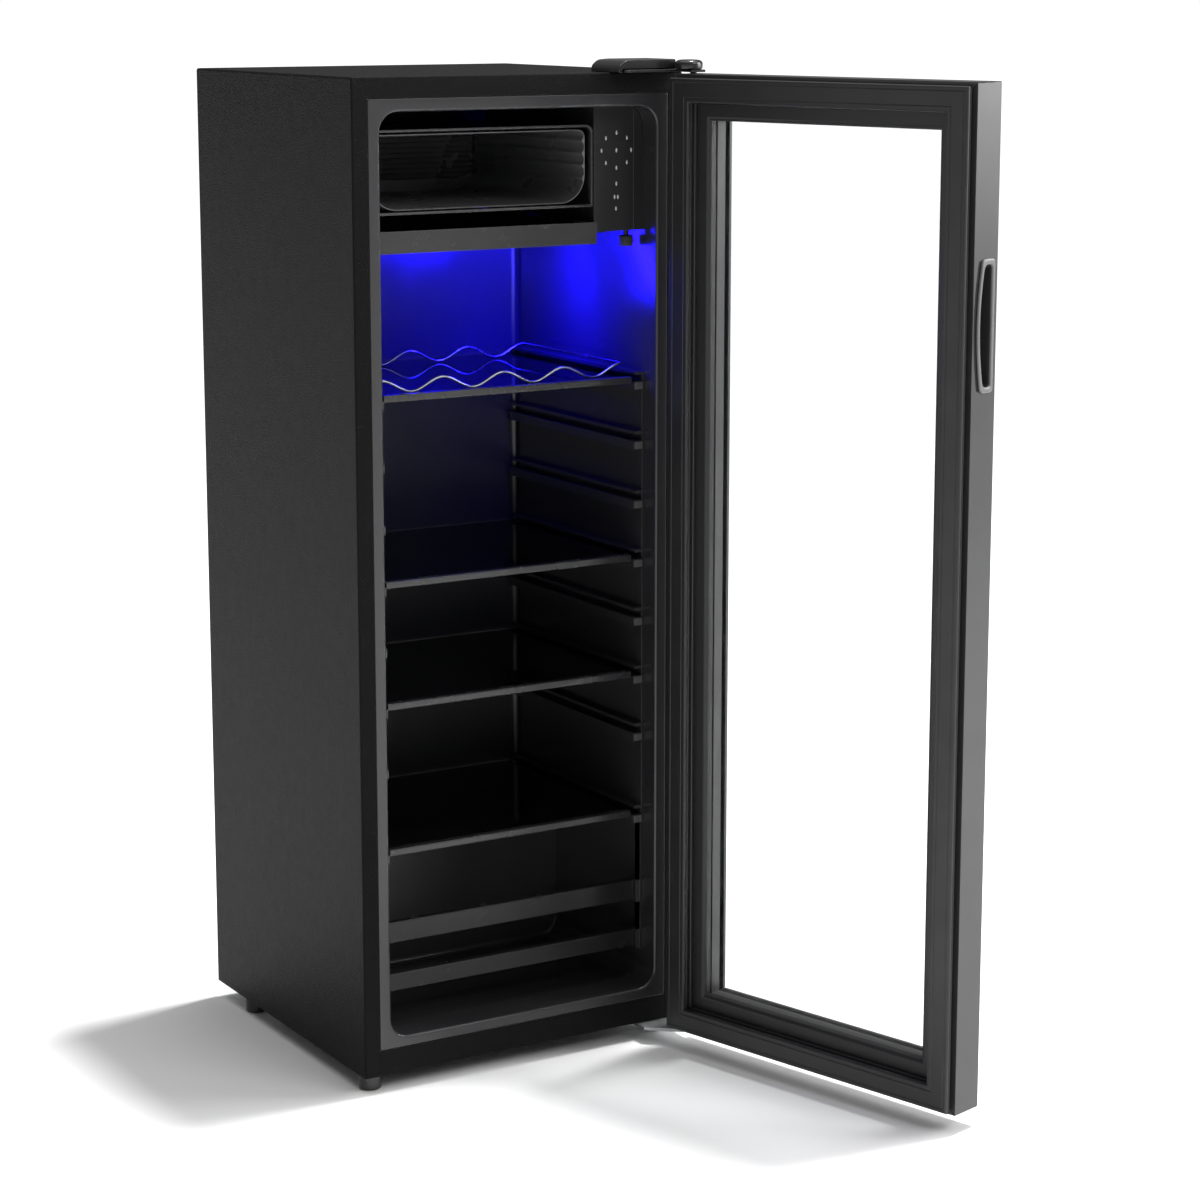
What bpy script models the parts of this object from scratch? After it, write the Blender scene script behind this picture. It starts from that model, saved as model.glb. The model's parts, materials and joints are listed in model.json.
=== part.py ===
"""Upright glass-door mini fridge, built as separate named pieces with working joints.

Shapes are written in millimetres in the cabinet's own frame: X runs across the front from the
left side, Y runs from the front face to the back, Z runs up from the underside of the cabinet.
The door is written closed and then swung open about its hinge pin. place() turns millimetres
into metres and moves everything so that the open fridge stands centred on its box's bottom.
"""

import math

import bmesh
import bpy
from mathutils import Vector

MM = 0.001
GAP = 0.3

# Cabinet
WIDTH = 445.0
DEPTH = 430.0
HEIGHT = 1190.0
FOOT_HEIGHT = 22.0
FOOT_X = 19.0
FRONT_FOOT_Y = 26.0
REAR_FOOT_Y = 352.0
SHEET = 1.2
FLANGE = 20.5
TOP_FLANGE = 24.8
APRON = 31.7

# Interior
WALL = 36.0
FLOOR = 45.0
CEILING = 1149.5
BACK = 345.0
CORNER = 24.0
LINER = 2.0
STEP_FRONT = 246.0
STEP_TOP = 222.0
PANEL = 394.0
BAY_FRONT = 296.0
BAY_TOP = 172.0
COMPRESSOR = (300.0, 362.0)
RAIL_TOP = 3.5

# Shelves
SHELF_FRONT = 34.0
SHELF_BACK = 335.0
SHELF_EDGE = 46.4
GLASS = 4.0
RAIL_WIDTH = 14.5
LEVELS = [264.0] + [370.0 + 74.0 * step for step in range(7)]
SHELF_LEVELS = [264.0, 444.0, 592.0, 814.0]
GUARD_BARS = {"guard_bar_lower": (90.0, 112.0), "guard_bar_upper": (151.0, 177.0)}

# Chiller compartment and control housing
PARTING = 340.5
TRAY_BOTTOM = 985.0
TRAY_TOP = 1011.0
TRAY_SEAT = 1008.3
CHILLER_BOTTOM = 1029.0
CHILLER_TOP = 1128.0
HOUSING_BOTTOM = 999.0
KNOB_X = 394.0
KNOB_Y = 47.0
SWITCH_X = 362.0
SWITCH_Y = 60.0
LAMP_LOW = (350.0, 90.0)
LAMP_HIGH = (394.0, 190.0)

# Door, closed
DOOR_BOTTOM = 1.5
DOOR_TOP = 1188.5
DOOR_FACE = -57.5
DOOR_BACK = -13.3
SEAL_FACE = -0.8
SEAL_INSET = 4.0
SEAL_WIDTH = 30.0
STILE = 34.0
BEZEL = 54.0
LIP = 4.5
HINGE_X = 436.0
HINGE_Y = -38.0
PIN_RADIUS = 4.0
DOOR_OPEN = 105.5
HANDLE_LOW = 845.0
HANDLE_HIGH = 995.0

# Rest box of the open fridge, which sets the origin
CENTRE_X = 285.7
CENTRE_Y = -17.8

FINISHES = {
    "painted_steel": ((0.030, 0.030, 0.031, 1.0), 0.45, 0.0),
    "bare_steel": ((0.45, 0.46, 0.47, 1.0), 0.38, 1.0),
    "liner": ((0.018, 0.018, 0.020, 1.0), 0.22, 0.0),
    "foam": ((0.62, 0.55, 0.38, 1.0), 0.9, 0.0),
    "black_plastic": ((0.025, 0.025, 0.026, 1.0), 0.35, 0.0),
    "grey_plastic": ((0.09, 0.09, 0.09, 1.0), 0.4, 0.0),
    "door_metal": ((0.055, 0.055, 0.056, 1.0), 0.36, 0.6),
    "rubber": ((0.035, 0.035, 0.036, 1.0), 0.62, 0.0),
    "tinted_glass": ((0.05, 0.05, 0.055, 1.0), 0.06, 0.0),
    "clear_glass": ((0.80, 0.84, 0.85, 1.0), 0.03, 0.0),
    "aluminium": ((0.55, 0.56, 0.57, 1.0), 0.35, 1.0),
    "black_enamel": ((0.02, 0.02, 0.021, 1.0), 0.3, 0.0),
    "copper": ((0.72, 0.38, 0.24, 1.0), 0.3, 1.0),
    "blue_lens": ((0.05, 0.10, 0.95, 1.0), 0.25, 0.0),
}


def finish(name):
    """Return the named finish, made on first use."""
    if name in bpy.data.materials:
        return bpy.data.materials[name]
    colour, roughness, metallic = FINISHES[name]
    material = bpy.data.materials.new(name)
    material.use_nodes = True
    shader = material.node_tree.nodes["Principled BSDF"]
    shader.inputs["Base Color"].default_value = colour
    shader.inputs["Roughness"].default_value = roughness
    shader.inputs["Metallic"].default_value = metallic
    material.diffuse_color = colour
    return material


def block(low, high):
    """A plain box between two corners."""
    bm = bmesh.new()
    bmesh.ops.create_cube(bm, size=1.0)
    size = [high[i] - low[i] for i in range(3)]
    middle = [(high[i] + low[i]) / 2.0 for i in range(3)]
    bmesh.ops.scale(bm, vec=size, verts=bm.verts)
    bmesh.ops.translate(bm, vec=middle, verts=bm.verts)
    return bm


def spot(axis, a, b, along):
    """A point from two outline coordinates and a place along the axis."""
    if axis == "x":
        return (along, a, b)
    if axis == "y":
        return (a, along, b)
    return (a, b, along)


def prism(outline, axis, start, end):
    """A closed outline carried straight along one axis."""
    bm = bmesh.new()
    near = [bm.verts.new(spot(axis, a, b, start)) for a, b in outline]
    far = [bm.verts.new(spot(axis, a, b, end)) for a, b in outline]
    count = len(outline)
    bm.faces.new(near)
    bm.faces.new(far)
    for i in range(count):
        j = (i + 1) % count
        bm.faces.new((near[i], near[j], far[j], far[i]))
    bmesh.ops.recalc_face_normals(bm, faces=bm.faces)
    return bm


def frame_prism(outer, inner, axis, start, end):
    """A ring between two outlines with the same number of points, carried along one axis."""
    bm = bmesh.new()
    loops = []
    for outline in (outer, inner):
        for along in (start, end):
            loops.append([bm.verts.new(spot(axis, a, b, along)) for a, b in outline])
    outer_near, outer_far, inner_near, inner_far = loops
    count = len(outer)
    for i in range(count):
        j = (i + 1) % count
        bm.faces.new((outer_near[i], outer_near[j], outer_far[j], outer_far[i]))
        bm.faces.new((inner_near[i], inner_near[j], inner_far[j], inner_far[i]))
        bm.faces.new((outer_near[i], outer_near[j], inner_near[j], inner_near[i]))
        bm.faces.new((outer_far[i], outer_far[j], inner_far[j], inner_far[i]))
    bmesh.ops.recalc_face_normals(bm, faces=bm.faces)
    return bm


def rounded(low_a, low_b, high_a, high_b, radii, steps=5):
    """A rectangle with its four corners rounded, from the low corner anticlockwise."""
    if isinstance(radii, (int, float)):
        radii = [radii] * 4
    corners = [
        (low_a, low_b, 1.0, 1.0, math.pi),
        (high_a, low_b, -1.0, 1.0, 1.5 * math.pi),
        (high_a, high_b, -1.0, -1.0, 0.0),
        (low_a, high_b, 1.0, -1.0, 0.5 * math.pi),
    ]
    points = []
    for (a, b, side_a, side_b, turn), radius in zip(corners, radii):
        for step in range(steps + 1):
            angle = turn + 0.5 * math.pi * step / steps
            centre_a = a + side_a * radius
            centre_b = b + side_b * radius
            points.append((centre_a + radius * math.cos(angle), centre_b + radius * math.sin(angle)))
    return points


def turned(profile, centre, axis="z", segments=24):
    """A profile of (radius, height) pairs turned about an axis; both ends close on the axis."""
    bm = bmesh.new()
    rings = []
    for radius, height in profile:
        ring = []
        for k in range(segments):
            angle = 2.0 * math.pi * k / segments
            a = radius * math.cos(angle)
            b = radius * math.sin(angle)
            ring.append(bm.verts.new(Vector(centre) + Vector(spot(axis, a, b, height))))
        rings.append(ring)
    for low, high in zip(rings, rings[1:]):
        for k in range(segments):
            m = (k + 1) % segments
            bm.faces.new((low[k], low[m], high[m], high[k]))
    bm.faces.new(rings[0])
    bm.faces.new(rings[-1])
    bmesh.ops.recalc_face_normals(bm, faces=bm.faces)
    return bm


def tube(name, points, radius, look, closed=False, resolution=1):
    """A round tube along a list of points, as a curve with filled ends."""
    curve = bpy.data.curves.new(name, "CURVE")
    curve.dimensions = "3D"
    curve.bevel_depth = radius * MM
    curve.bevel_resolution = resolution
    curve.use_fill_caps = True
    curve.render_resolution_u = 0
    spline = curve.splines.new("POLY")
    spline.points.add(len(points) - 1)
    anchor = Vector(points[0])
    for target, point in zip(spline.points, points):
        target.co = ((Vector(point) - anchor) * MM).to_4d()
    spline.use_cyclic_u = closed
    curve.materials.append(finish(look))
    obj = bpy.data.objects.new(name, curve)
    bpy.context.collection.objects.link(obj)
    obj.location = (anchor - Vector((CENTRE_X, CENTRE_Y, -FOOT_HEIGHT))) * MM
    return obj


def place(name, bm, look, pivot=None, rider=None, smooth=False):
    """Turn a shape into a named object whose origin is the pivot, or the shape's middle."""
    if pivot is None:
        corners = [[vert.co[i] for vert in bm.verts] for i in range(3)]
        pivot = [(min(values) + max(values)) / 2.0 for values in corners]
    anchor = Vector(pivot)
    bmesh.ops.translate(bm, vec=-anchor, verts=bm.verts)
    bmesh.ops.scale(bm, vec=(MM, MM, MM), verts=bm.verts)
    mesh = bpy.data.meshes.new(name)
    bm.to_mesh(mesh)
    bm.free()
    mesh.materials.append(finish(look))
    if smooth:
        mesh.shade_smooth()
        mesh.set_sharp_from_angle(angle=math.radians(35.0))
    obj = bpy.data.objects.new(name, mesh)
    bpy.context.collection.objects.link(obj)
    if rider is None:
        obj.location = (anchor - Vector((CENTRE_X, CENTRE_Y, -FOOT_HEIGHT))) * MM
    else:
        obj.parent = rider
        obj.location = (anchor - Vector((HINGE_X, HINGE_Y, 0.0))) * MM
    return obj


def shape_with(obj, bm, operation, rider=None):
    """Join a hidden shape to an object, or cut it away."""
    tool = place(obj.name + "_tool", bm, "grey_plastic", rider=rider)
    tool.hide_render = True
    tool.display_type = "WIRE"
    modifier = obj.modifiers.new(operation.lower(), "BOOLEAN")
    modifier.operation = operation
    modifier.solver = "EXACT"
    modifier.object = tool
    return tool


def cut(obj, bm, rider=None):
    return shape_with(obj, bm, "DIFFERENCE", rider)


def join(obj, bm, rider=None):
    return shape_with(obj, bm, "UNION", rider)


def make_outer_shell():
    """Painted sheet wrapped over the sides and top, with a narrow flange round the front."""
    shell = place("outer_shell", block((0, 0, 0), (WIDTH, DEPTH, HEIGHT)), "painted_steel")
    inside = block((SHEET, SHEET, -10.0), (WIDTH - SHEET, DEPTH + 10.0, HEIGHT - SHEET))
    cut(shell, inside)
    cut(shell, block((FLANGE, -5.0, -10.0), (WIDTH - FLANGE, 5.0, HEIGHT - TOP_FLANGE)))


def make_front_apron():
    """Low front strip between the side flanges, turned back underneath."""
    outline = [(0.0, GAP), (20.0, GAP), (20.0, GAP + SHEET), (SHEET, GAP + SHEET)]
    outline += [(SHEET, APRON), (0.0, APRON)]
    place("front_apron", prism(outline, "x", FLANGE + GAP, WIDTH - FLANGE - GAP), "painted_steel")


def make_base_plate():
    """Sheet floor ahead of the compressor bay, with a pressed skid near the left side."""
    low_x = SHEET + GAP
    high_x = WIDTH - SHEET - GAP
    plate = place("base_plate", block((low_x, 20.5, GAP), (high_x, 292.0, GAP + SHEET)), "painted_steel")
    join(plate, block((4.0, 112.0, -5.0), (30.0, 152.0, GAP + 0.6)))
    for x in (FOOT_X, WIDTH - FOOT_X):
        cut(plate, turned([(4.6, -8.0), (4.6, 8.0)], (x, FRONT_FOOT_Y, 0.0), segments=16))


def make_liner():
    """Moulded inner tub: front flange, walls, ceiling, floor and the step over the compressor."""
    opening_outer = rounded(
        WALL - LINER, FLOOR - LINER, WIDTH - WALL + LINER, CEILING + LINER, CORNER + LINER
    )
    liner = place("inner_liner", prism(opening_outer, "y", 0.0, BACK + LINER), "liner")
    cut(liner, step_block(LINER))
    flange = block(
        (FLANGE + GAP, 0.0, APRON + GAP), (WIDTH - FLANGE - GAP, LINER, HEIGHT - TOP_FLANGE - GAP)
    )
    join(liner, flange)
    cavity = rounded(WALL, FLOOR, WIDTH - WALL, CEILING, CORNER)
    hollow = cut(liner, prism(cavity, "y", -5.0, BACK))
    cut(hollow, step_block(0.0))


def step_block(skin):
    """The space taken from the lower back of the tub by the compressor bay."""
    front = STEP_FRONT + skin
    top = STEP_TOP - skin
    slope = 8.0
    outline = [(front, -20.0), (BACK + 60.0, -20.0), (BACK + 60.0, top)]
    outline += [(front + slope, top), (front, top - 20.0)]
    return prism(outline, "x", -20.0, WIDTH + 20.0)


def make_foam():
    """Insulation that fills the space between the shell, the liner and the back panel."""
    edge = SHEET + GAP
    high = (WIDTH - edge, PANEL - 0.8, HEIGHT - edge)
    foam = place("foam_insulation", block((edge, LINER + GAP, GAP + SHEET + 0.6), high), "foam")
    tub = rounded(
        WALL - LINER - GAP,
        FLOOR - LINER - GAP,
        WIDTH - WALL + LINER + GAP,
        CEILING + LINER + GAP,
        CORNER + LINER + GAP,
    )
    hollow = cut(foam, prism(tub, "y", -5.0, BACK + LINER + GAP))
    cut(hollow, step_block(LINER + GAP))
    cut(foam, block((-5.0, BAY_FRONT - 2.0, -5.0), (WIDTH + 5.0, DEPTH, BAY_TOP + 2.0)))
    cut(foam, block((-5.0, -5.0, -5.0), (WIDTH + 5.0, 20.8, 3.4)))
    for x in (FOOT_X, WIDTH - FOOT_X):
        cut(foam, turned([(7.0, -6.0), (7.0, 16.0)], (x, FRONT_FOOT_Y, 0.0), segments=16))


def make_back_panel():
    """Recessed rear sheet that bends forward over the compressor bay and down its front."""
    skin = 1.0
    outline = [
        (PANEL, HEIGHT - 2.0),
        (PANEL, BAY_TOP + skin),
        (BAY_FRONT, BAY_TOP + skin),
        (BAY_FRONT, 3.0),
        (BAY_FRONT + skin, 3.0),
        (BAY_FRONT + skin, BAY_TOP),
        (PANEL + skin, BAY_TOP),
        (PANEL + skin, HEIGHT - 2.0),
    ]
    place("back_panel", prism(outline, "x", SHEET + GAP, WIDTH - SHEET - GAP), "painted_steel")


def make_bottom_tray():
    """Folded steel rail across the rear that carries the compressor and the rear feet."""
    low_y = BAY_FRONT + 1.6
    high_y = DEPTH - 2.0
    base = 2.0
    skin = 1.5
    outline = [
        (low_y, base),
        (high_y, base),
        (high_y, base + 16.0),
        (high_y - skin, base + 16.0),
        (high_y - skin, base + skin),
        (low_y + skin, base + skin),
        (low_y + skin, base + 14.0),
        (low_y, base + 14.0),
    ]
    tray = place("compressor_rail", prism(outline, "x", SHEET + GAP, WIDTH - SHEET - GAP), "bare_steel")
    for x in (FOOT_X, WIDTH - FOOT_X):
        cut(tray, turned([(4.6, -8.0), (4.6, 8.0)], (x, REAR_FOOT_Y, 0.0), segments=16))


def make_compressor():
    """Sealed compressor: domed can with a weld band, on a flat mounting foot."""
    x, y = COMPRESSOR
    low = RAIL_TOP + 8.0
    profile = [
        (20.0, low + 3.0),
        (44.0, low + 6.0),
        (56.0, low + 18.0),
        (59.0, low + 34.0),
        (59.0, low + 58.0),
        (61.5, low + 59.0),
        (61.5, low + 63.0),
        (59.0, low + 64.0),
        (57.5, low + 88.0),
        (50.0, low + 106.0),
        (34.0, low + 117.0),
        (12.0, low + 121.0),
    ]
    can = place("compressor", turned(profile, (x, y, 0.0), segments=28), "black_enamel", smooth=True)
    join(can, block((x - 88.0, y - 34.0, low), (x + 88.0, y + 34.0, low + 4.0)))


def make_grommets():
    """Four rubber mounts between the compressor's foot and the rail."""
    x, y = COMPRESSOR
    names = ("grommet_front_left", "grommet_front_right", "grommet_rear_left", "grommet_rear_right")
    places = ((-76.0, -24.0), (76.0, -24.0), (-76.0, 24.0), (76.0, 24.0))
    low = RAIL_TOP + GAP
    high = RAIL_TOP + 8.0 - GAP
    for name, (dx, dy) in zip(names, places):
        profile = [(9.0, low), (9.0, low + 2.2), (7.0, low + 3.0)]
        profile += [(7.0, high - 3.0), (9.0, high - 2.2), (9.0, high)]
        place(name, turned(profile, (x + dx, y + dy, 0.0), segments=16), "rubber", smooth=True)


def make_relay_cover():
    """Plastic cover over the start relay, clipped to the compressor's left side."""
    x, y = COMPRESSOR
    outline = rounded(x - 100.0, y - 26.0, x - 63.0, y + 26.0, 5.0, 3)
    place("relay_cover", prism(outline, "z", 52.0, 112.0), "black_plastic")


def make_condenser():
    """Serpentine tube on the back, its riser from the compressor and its drop to the drier."""
    left = 44.0
    right = 398.0
    y = PANEL + 22.0
    bottom = 250.0
    pitch = 78.0
    passes = 11
    bend = 9.0
    riser_x = 418.0
    points = [(COMPRESSOR[0] + 62.5, y, 86.0), (riser_x - 12.0, y, 86.0)]
    points += [(riser_x - 3.5, y, 89.5), (riser_x, y, 98.0)]
    top = bottom + pitch * (passes - 1)
    points += [(riser_x, y, top - bend), (riser_x - 2.6, y, top - 2.6), (riser_x - bend, y, top)]
    side = -1
    for row in range(passes):
        z = top - pitch * row
        edge = left if side < 0 else right
        points.append((edge - side * bend, y, z))
        points.append((edge - side * 2.6, y, z - 2.6))
        points.append((edge, y, z - bend))
        if row == passes - 1:
            break
        points.append((edge, y, z - pitch + bend))
        points.append((edge - side * 2.6, y, z - pitch + 2.6))
        points.append((edge - side * bend, y, z - pitch))
        side = -side
    points += [(left, y, 128.0), (left + 3.5, y, 119.5), (left + 12.0, y, 116.0), (left + 20.0, y, 116.0)]
    tube("condenser_tube", points, 2.4, "black_enamel")


def make_condenser_wires():
    """Upright wires welded in one mat, on four stand-off posts against the back panel."""
    left = 58.0
    right = 384.0
    low = 236.0
    high = 1042.0
    columns = 14
    y = PANEL + 17.4
    bars = [low, (low + high) / 2.0, high]
    half = 1.0
    foot_bar = block((left, y - half, low - half), (right, y + half, low + half))
    mat = place("condenser_wires", foot_bar, "black_enamel")
    for z in bars[1:]:
        join(mat, block((left, y - half, z - half), (right, y + half, z + half)))
    for column in range(columns):
        x = left + half + (right - left - 2.0 * half) * column / (columns - 1)
        join(mat, block((x - half, y - half + 0.1, low - 6.0), (x + half, y + half - 0.1, high + 6.0)))
    for x in (left + 24.0, right - 24.0):
        for z in (low, high):
            join(mat, block((x - 4.0, PANEL + 1.0 + GAP, z - 4.0), (x + 4.0, y, z + 4.0)))


def make_drier():
    """Copper filter drier at the foot of the condenser."""
    start = 64.0 + GAP
    profile = [(2.4, start), (9.0, start + 12.0), (9.0, start + 76.0), (2.0, start + 92.0)]
    place("filter_drier", turned(profile, (0.0, PANEL + 22.0, 116.0), "x", 16), "copper", smooth=True)


def make_cord_gland():
    """Bush in the rear rail where the mains lead would enter; the lead itself is not made."""
    y = DEPTH - 2.0
    profile = [(9.0, y + GAP), (9.0, y + 1.6), (5.0, y + 1.6 + GAP), (5.0, y + 2.0)]
    gland = place("cord_gland", turned(profile, (150.0, 0.0, 10.0), "y", 20), "rubber", smooth=True)
    cut(gland, turned([(3.6, y - 6.0), (3.6, y + 8.0)], (150.0, 0.0, 10.0), "y", 16))


def make_feet():
    """Four levelling feet, each a plain round boot on a threaded stud."""
    spots = {
        "foot_front_left": (FOOT_X, FRONT_FOOT_Y, GAP),
        "foot_front_right": (WIDTH - FOOT_X, FRONT_FOOT_Y, -4.6),
        "foot_rear_left": (FOOT_X, REAR_FOOT_Y, 2.0),
        "foot_rear_right": (WIDTH - FOOT_X, REAR_FOOT_Y, 2.0),
    }
    for name, (x, y, seat) in spots.items():
        shoulder = seat - GAP
        profile = [
            (11.5, -FOOT_HEIGHT),
            (13.8, -FOOT_HEIGHT + 2.3),
            (13.8, shoulder),
            (4.0, shoulder),
            (4.0, 12.0),
        ]
        bm = turned(profile, (x, y, 0.0), segments=20)
        place(name, bm, "black_plastic", pivot=(x, y, 0.0), smooth=True)


def make_rails(name, wall, side):
    """Side panel with two ribs at each shelf level and an upright slot for each guard bar."""
    back = BACK - 6.0
    skin = 1.4
    near = wall + side * GAP
    rail = place(name, span_block(near, near + side * skin, 30.0, back, 254.0, 826.0), "liner")
    for level in LEVELS:
        join(rail, span_block(near, near + side * RAIL_WIDTH, 28.0, back, level - 11.0, level))
        join(rail, span_block(near, near + side * (RAIL_WIDTH - 3.0), 29.0, back, level + 8.0, level + 12.0))
    join(rail, span_block(near, near + side * 1.8, 32.0, 44.0, 84.0, 260.0))
    far = near + side * 7.0
    for low, high in GUARD_BARS.values():
        join(rail, span_block(near, far, 32.2, 35.2, low - 3.0, high - 0.2))
        join(rail, span_block(near, far, 39.6, 43.8, low - 3.0, high - 0.2))
        join(rail, span_block(near, far, 32.2, 43.8, low - 3.2, low - 0.6))


def span_block(x0, x1, y0, y1, z0, z1):
    """A box whose X limits may come in either order."""
    return block((min(x0, x1), y0, z0), (max(x0, x1), y1, z1))


def make_shelves():
    """Tinted glass plates, each with a moulded strip on its front edge."""
    for number, level in enumerate(SHELF_LEVELS, 1):
        low = level + GAP
        outline = rounded(SHELF_EDGE, SHELF_FRONT, WIDTH - SHELF_EDGE, SHELF_BACK, 5.0, 3)
        pivot = (WIDTH / 2.0, SHELF_FRONT, level)
        place(f"shelf_{number}_glass", prism(outline, "z", low, low + GLASS), "tinted_glass", pivot)
        top = low + GLASS + GAP
        strip = [
            (30.5, level - 2.6),
            (40.0, level - 2.6),
            (40.0, level),
            (SHELF_FRONT - GAP, level),
            (SHELF_FRONT - GAP, top),
            (40.0, top),
            (40.0, top + 1.2),
            (30.5, top + 1.2),
        ]
        trim_edge = WALL + RAIL_WIDTH + 2.0
        place(f"shelf_{number}_trim", prism(strip, "x", trim_edge, WIDTH - trim_edge), "grey_plastic", pivot)


def make_bottle_cradle():
    """Bent wire on the top shelf whose waves keep four bottles apart, front and back."""
    radius = 1.6
    base = SHELF_LEVELS[-1] + GAP + GLASS + GAP + radius
    lift = 15.0
    left = 56.0
    right = WIDTH - 56.0
    front = 48.0
    back = 290.0
    bottles = 4
    steps = 32

    def wave(share):
        return base + 0.5 * lift * (1.0 + math.cos(2.0 * math.pi * bottles * share))

    points = []
    for step in range(steps + 1):
        share = step / steps
        points.append((left + (right - left) * share, front, wave(share)))
    for step in range(steps + 1):
        share = 1.0 - step / steps
        points.append((left + (right - left) * share, back, wave(share)))
    tube("bottle_cradle", points, radius, "aluminium", closed=True)


def make_guard_bars():
    """Two low bars that keep bottles standing; they lift out of slots in the side panels."""
    for name, (low, high) in GUARD_BARS.items():
        end = WALL + 3.0
        pivot = (WIDTH / 2.0, 37.0, low)
        bar = place(name, block((end, 36.0, low), (WIDTH - end, 38.6, high)), "grey_plastic", pivot)
        join(bar, block((46.0, 37.0, high - 2.4), (WIDTH - 46.0, 45.0, high)))
        join(bar, block((46.0, 37.0, low), (WIDTH - 46.0, 42.0, low + 2.0)))


def make_evaporator():
    """Cold plate bent into a round-cornered box, open at the front."""
    outer = rounded(44.0, 1033.5, 333.0, 1122.0, [34.0, 34.0, 10.0, 10.0], 6)
    inner = rounded(45.8, 1035.3, 331.2, 1120.2, [32.2, 32.2, 8.2, 8.2], 6)
    place("evaporator", frame_prism(outer, inner, "y", 42.0, 318.0), "aluminium")
    place("chiller_back", prism(outer, "y", 318.0 + GAP, 321.5), "black_plastic")


def make_chiller_frame():
    """Thin rim round the mouth of the chiller compartment."""
    low = (WALL + 1.2, CHILLER_BOTTOM)
    high = (PARTING - 0.6, CHILLER_TOP)
    outer = rounded(*low, *high, [2.0, 2.0, 9.0, 2.0], 4)
    inner = rounded(low[0] + 3.8, low[1] + 4.0, high[0] - 4.0, high[1] - 4.0, [2.0, 2.0, 7.0, 2.0], 4)
    place("chiller_frame", frame_prism(outer, inner, "y", 34.0, 41.0), "black_plastic")


def make_drip_tray():
    """Shallow tray under the chiller, with a tall front and lips that ride on two rails."""
    basin = block((47.0, 30.0, TRAY_BOTTOM + 1.0), (332.0, 326.0, 1010.5))
    tray = place("drip_tray", basin, "black_plastic", pivot=(190.0, 28.0, TRAY_BOTTOM))
    join(tray, block((39.6, 36.0, 1008.6), (337.4, 320.0, 1010.4)))
    join(tray, block((WALL + 1.2, 28.0, TRAY_BOTTOM), (PARTING + 0.8, 33.6, TRAY_TOP)))
    cut(tray, block((49.0, 36.0, TRAY_BOTTOM + 3.0), (330.0, 324.0, 1020.0)))


def make_tray_rail():
    """Angle rail for the left side of the drip tray; the right side rides on the housing."""
    left = [(WALL + GAP, 1001.0), (WALL + 8.6, 1001.0), (WALL + 8.6, TRAY_SEAT), (WALL + 2.6, TRAY_SEAT)]
    left += [(WALL + 2.6, 1012.0), (WALL + GAP, 1012.0)]
    place("tray_rail", prism(left, "y", 38.0, 322.0), "black_plastic")


def make_control_housing():
    """Box beside the chiller for the thermostat and the lamp, open at the back."""
    left = PARTING + 0.2
    right = WIDTH - WALL - GAP
    top = CEILING - GAP
    skin = 2.0
    outer = rounded(left, HOUSING_BOTTOM, right, top, [1.0, 1.0, CORNER, 1.0])
    bottom = HOUSING_BOTTOM + skin
    inner = rounded(left + skin, bottom, right - skin, top - skin, [0.5, 0.5, CORNER - skin, 0.5])
    housing = place("control_housing", prism(outer, "y", 34.0, 300.0), "black_plastic")
    join(housing, block((PARTING - 6.0, 38.0, 1001.0), (left + 1.0, 300.0, TRAY_SEAT)))
    cut(housing, prism(inner, "y", 34.0 + skin, 320.0))
    cut(housing, turned([(4.2, -6.0), (4.2, 6.0)], (KNOB_X, KNOB_Y, HOUSING_BOTTOM), segments=16))
    cut(housing, block((SWITCH_X - 7.0, SWITCH_Y - 11.0, 990.0), (SWITCH_X + 7.0, SWITCH_Y + 11.0, 1003.0)))
    lamp_low = (LAMP_LOW[0] - 0.6, LAMP_LOW[1] - 0.6, 990.0)
    lamp_high = (LAMP_HIGH[0] + 0.6, LAMP_HIGH[1] + 0.6, 1003.0)
    cut(housing, block(lamp_low, lamp_high))


def make_controls():
    """Thermostat inside the housing, its ribbed knob, the rocker switch and the lamp."""
    thermostat = place("thermostat", block((374.0, 38.0, 1014.0), (404.0, 84.0, 1058.0)), "grey_plastic")
    join(thermostat, turned([(3.0, 1009.0), (3.0, 1016.0)], (KNOB_X, KNOB_Y, 0.0), segments=12))
    bm = turned(
        [(7.6, 979.0), (8.8, 980.5), (9.0, 990.0), (8.0, 992.0), (3.4, 992.4), (3.4, 1008.6)],
        (KNOB_X, KNOB_Y, 0.0),
        segments=24,
    )
    knob = place("thermostat_knob", bm, "black_plastic", pivot=(KNOB_X, KNOB_Y, 990.0), smooth=True)
    ribs = 12
    for k in range(ribs):
        angle = 2.0 * math.pi * k / ribs
        x = KNOB_X + 9.0 * math.cos(angle)
        y = KNOB_Y + 9.0 * math.sin(angle)
        cut(knob, turned([(1.0, 976.0), (1.0, 988.0)], (x, y, 0.0), segments=6))
    outline = [
        (SWITCH_Y - 9.4, 996.2),
        (SWITCH_Y, 997.6),
        (SWITCH_Y + 9.4, 995.0),
        (SWITCH_Y + 9.4, 1004.0),
        (SWITCH_Y - 9.4, 1004.0),
    ]
    pivot = (SWITCH_X, SWITCH_Y, 1000.0)
    place("light_switch", prism(outline, "x", SWITCH_X - 5.6, SWITCH_X + 5.6), "grey_plastic", pivot)
    lens = rounded(LAMP_LOW[0], LAMP_LOW[1], LAMP_HIGH[0], LAMP_HIGH[1], 4.0, 3)
    place("lamp_lens", prism(lens, "z", 996.0, 1002.0), "blue_lens")


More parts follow.
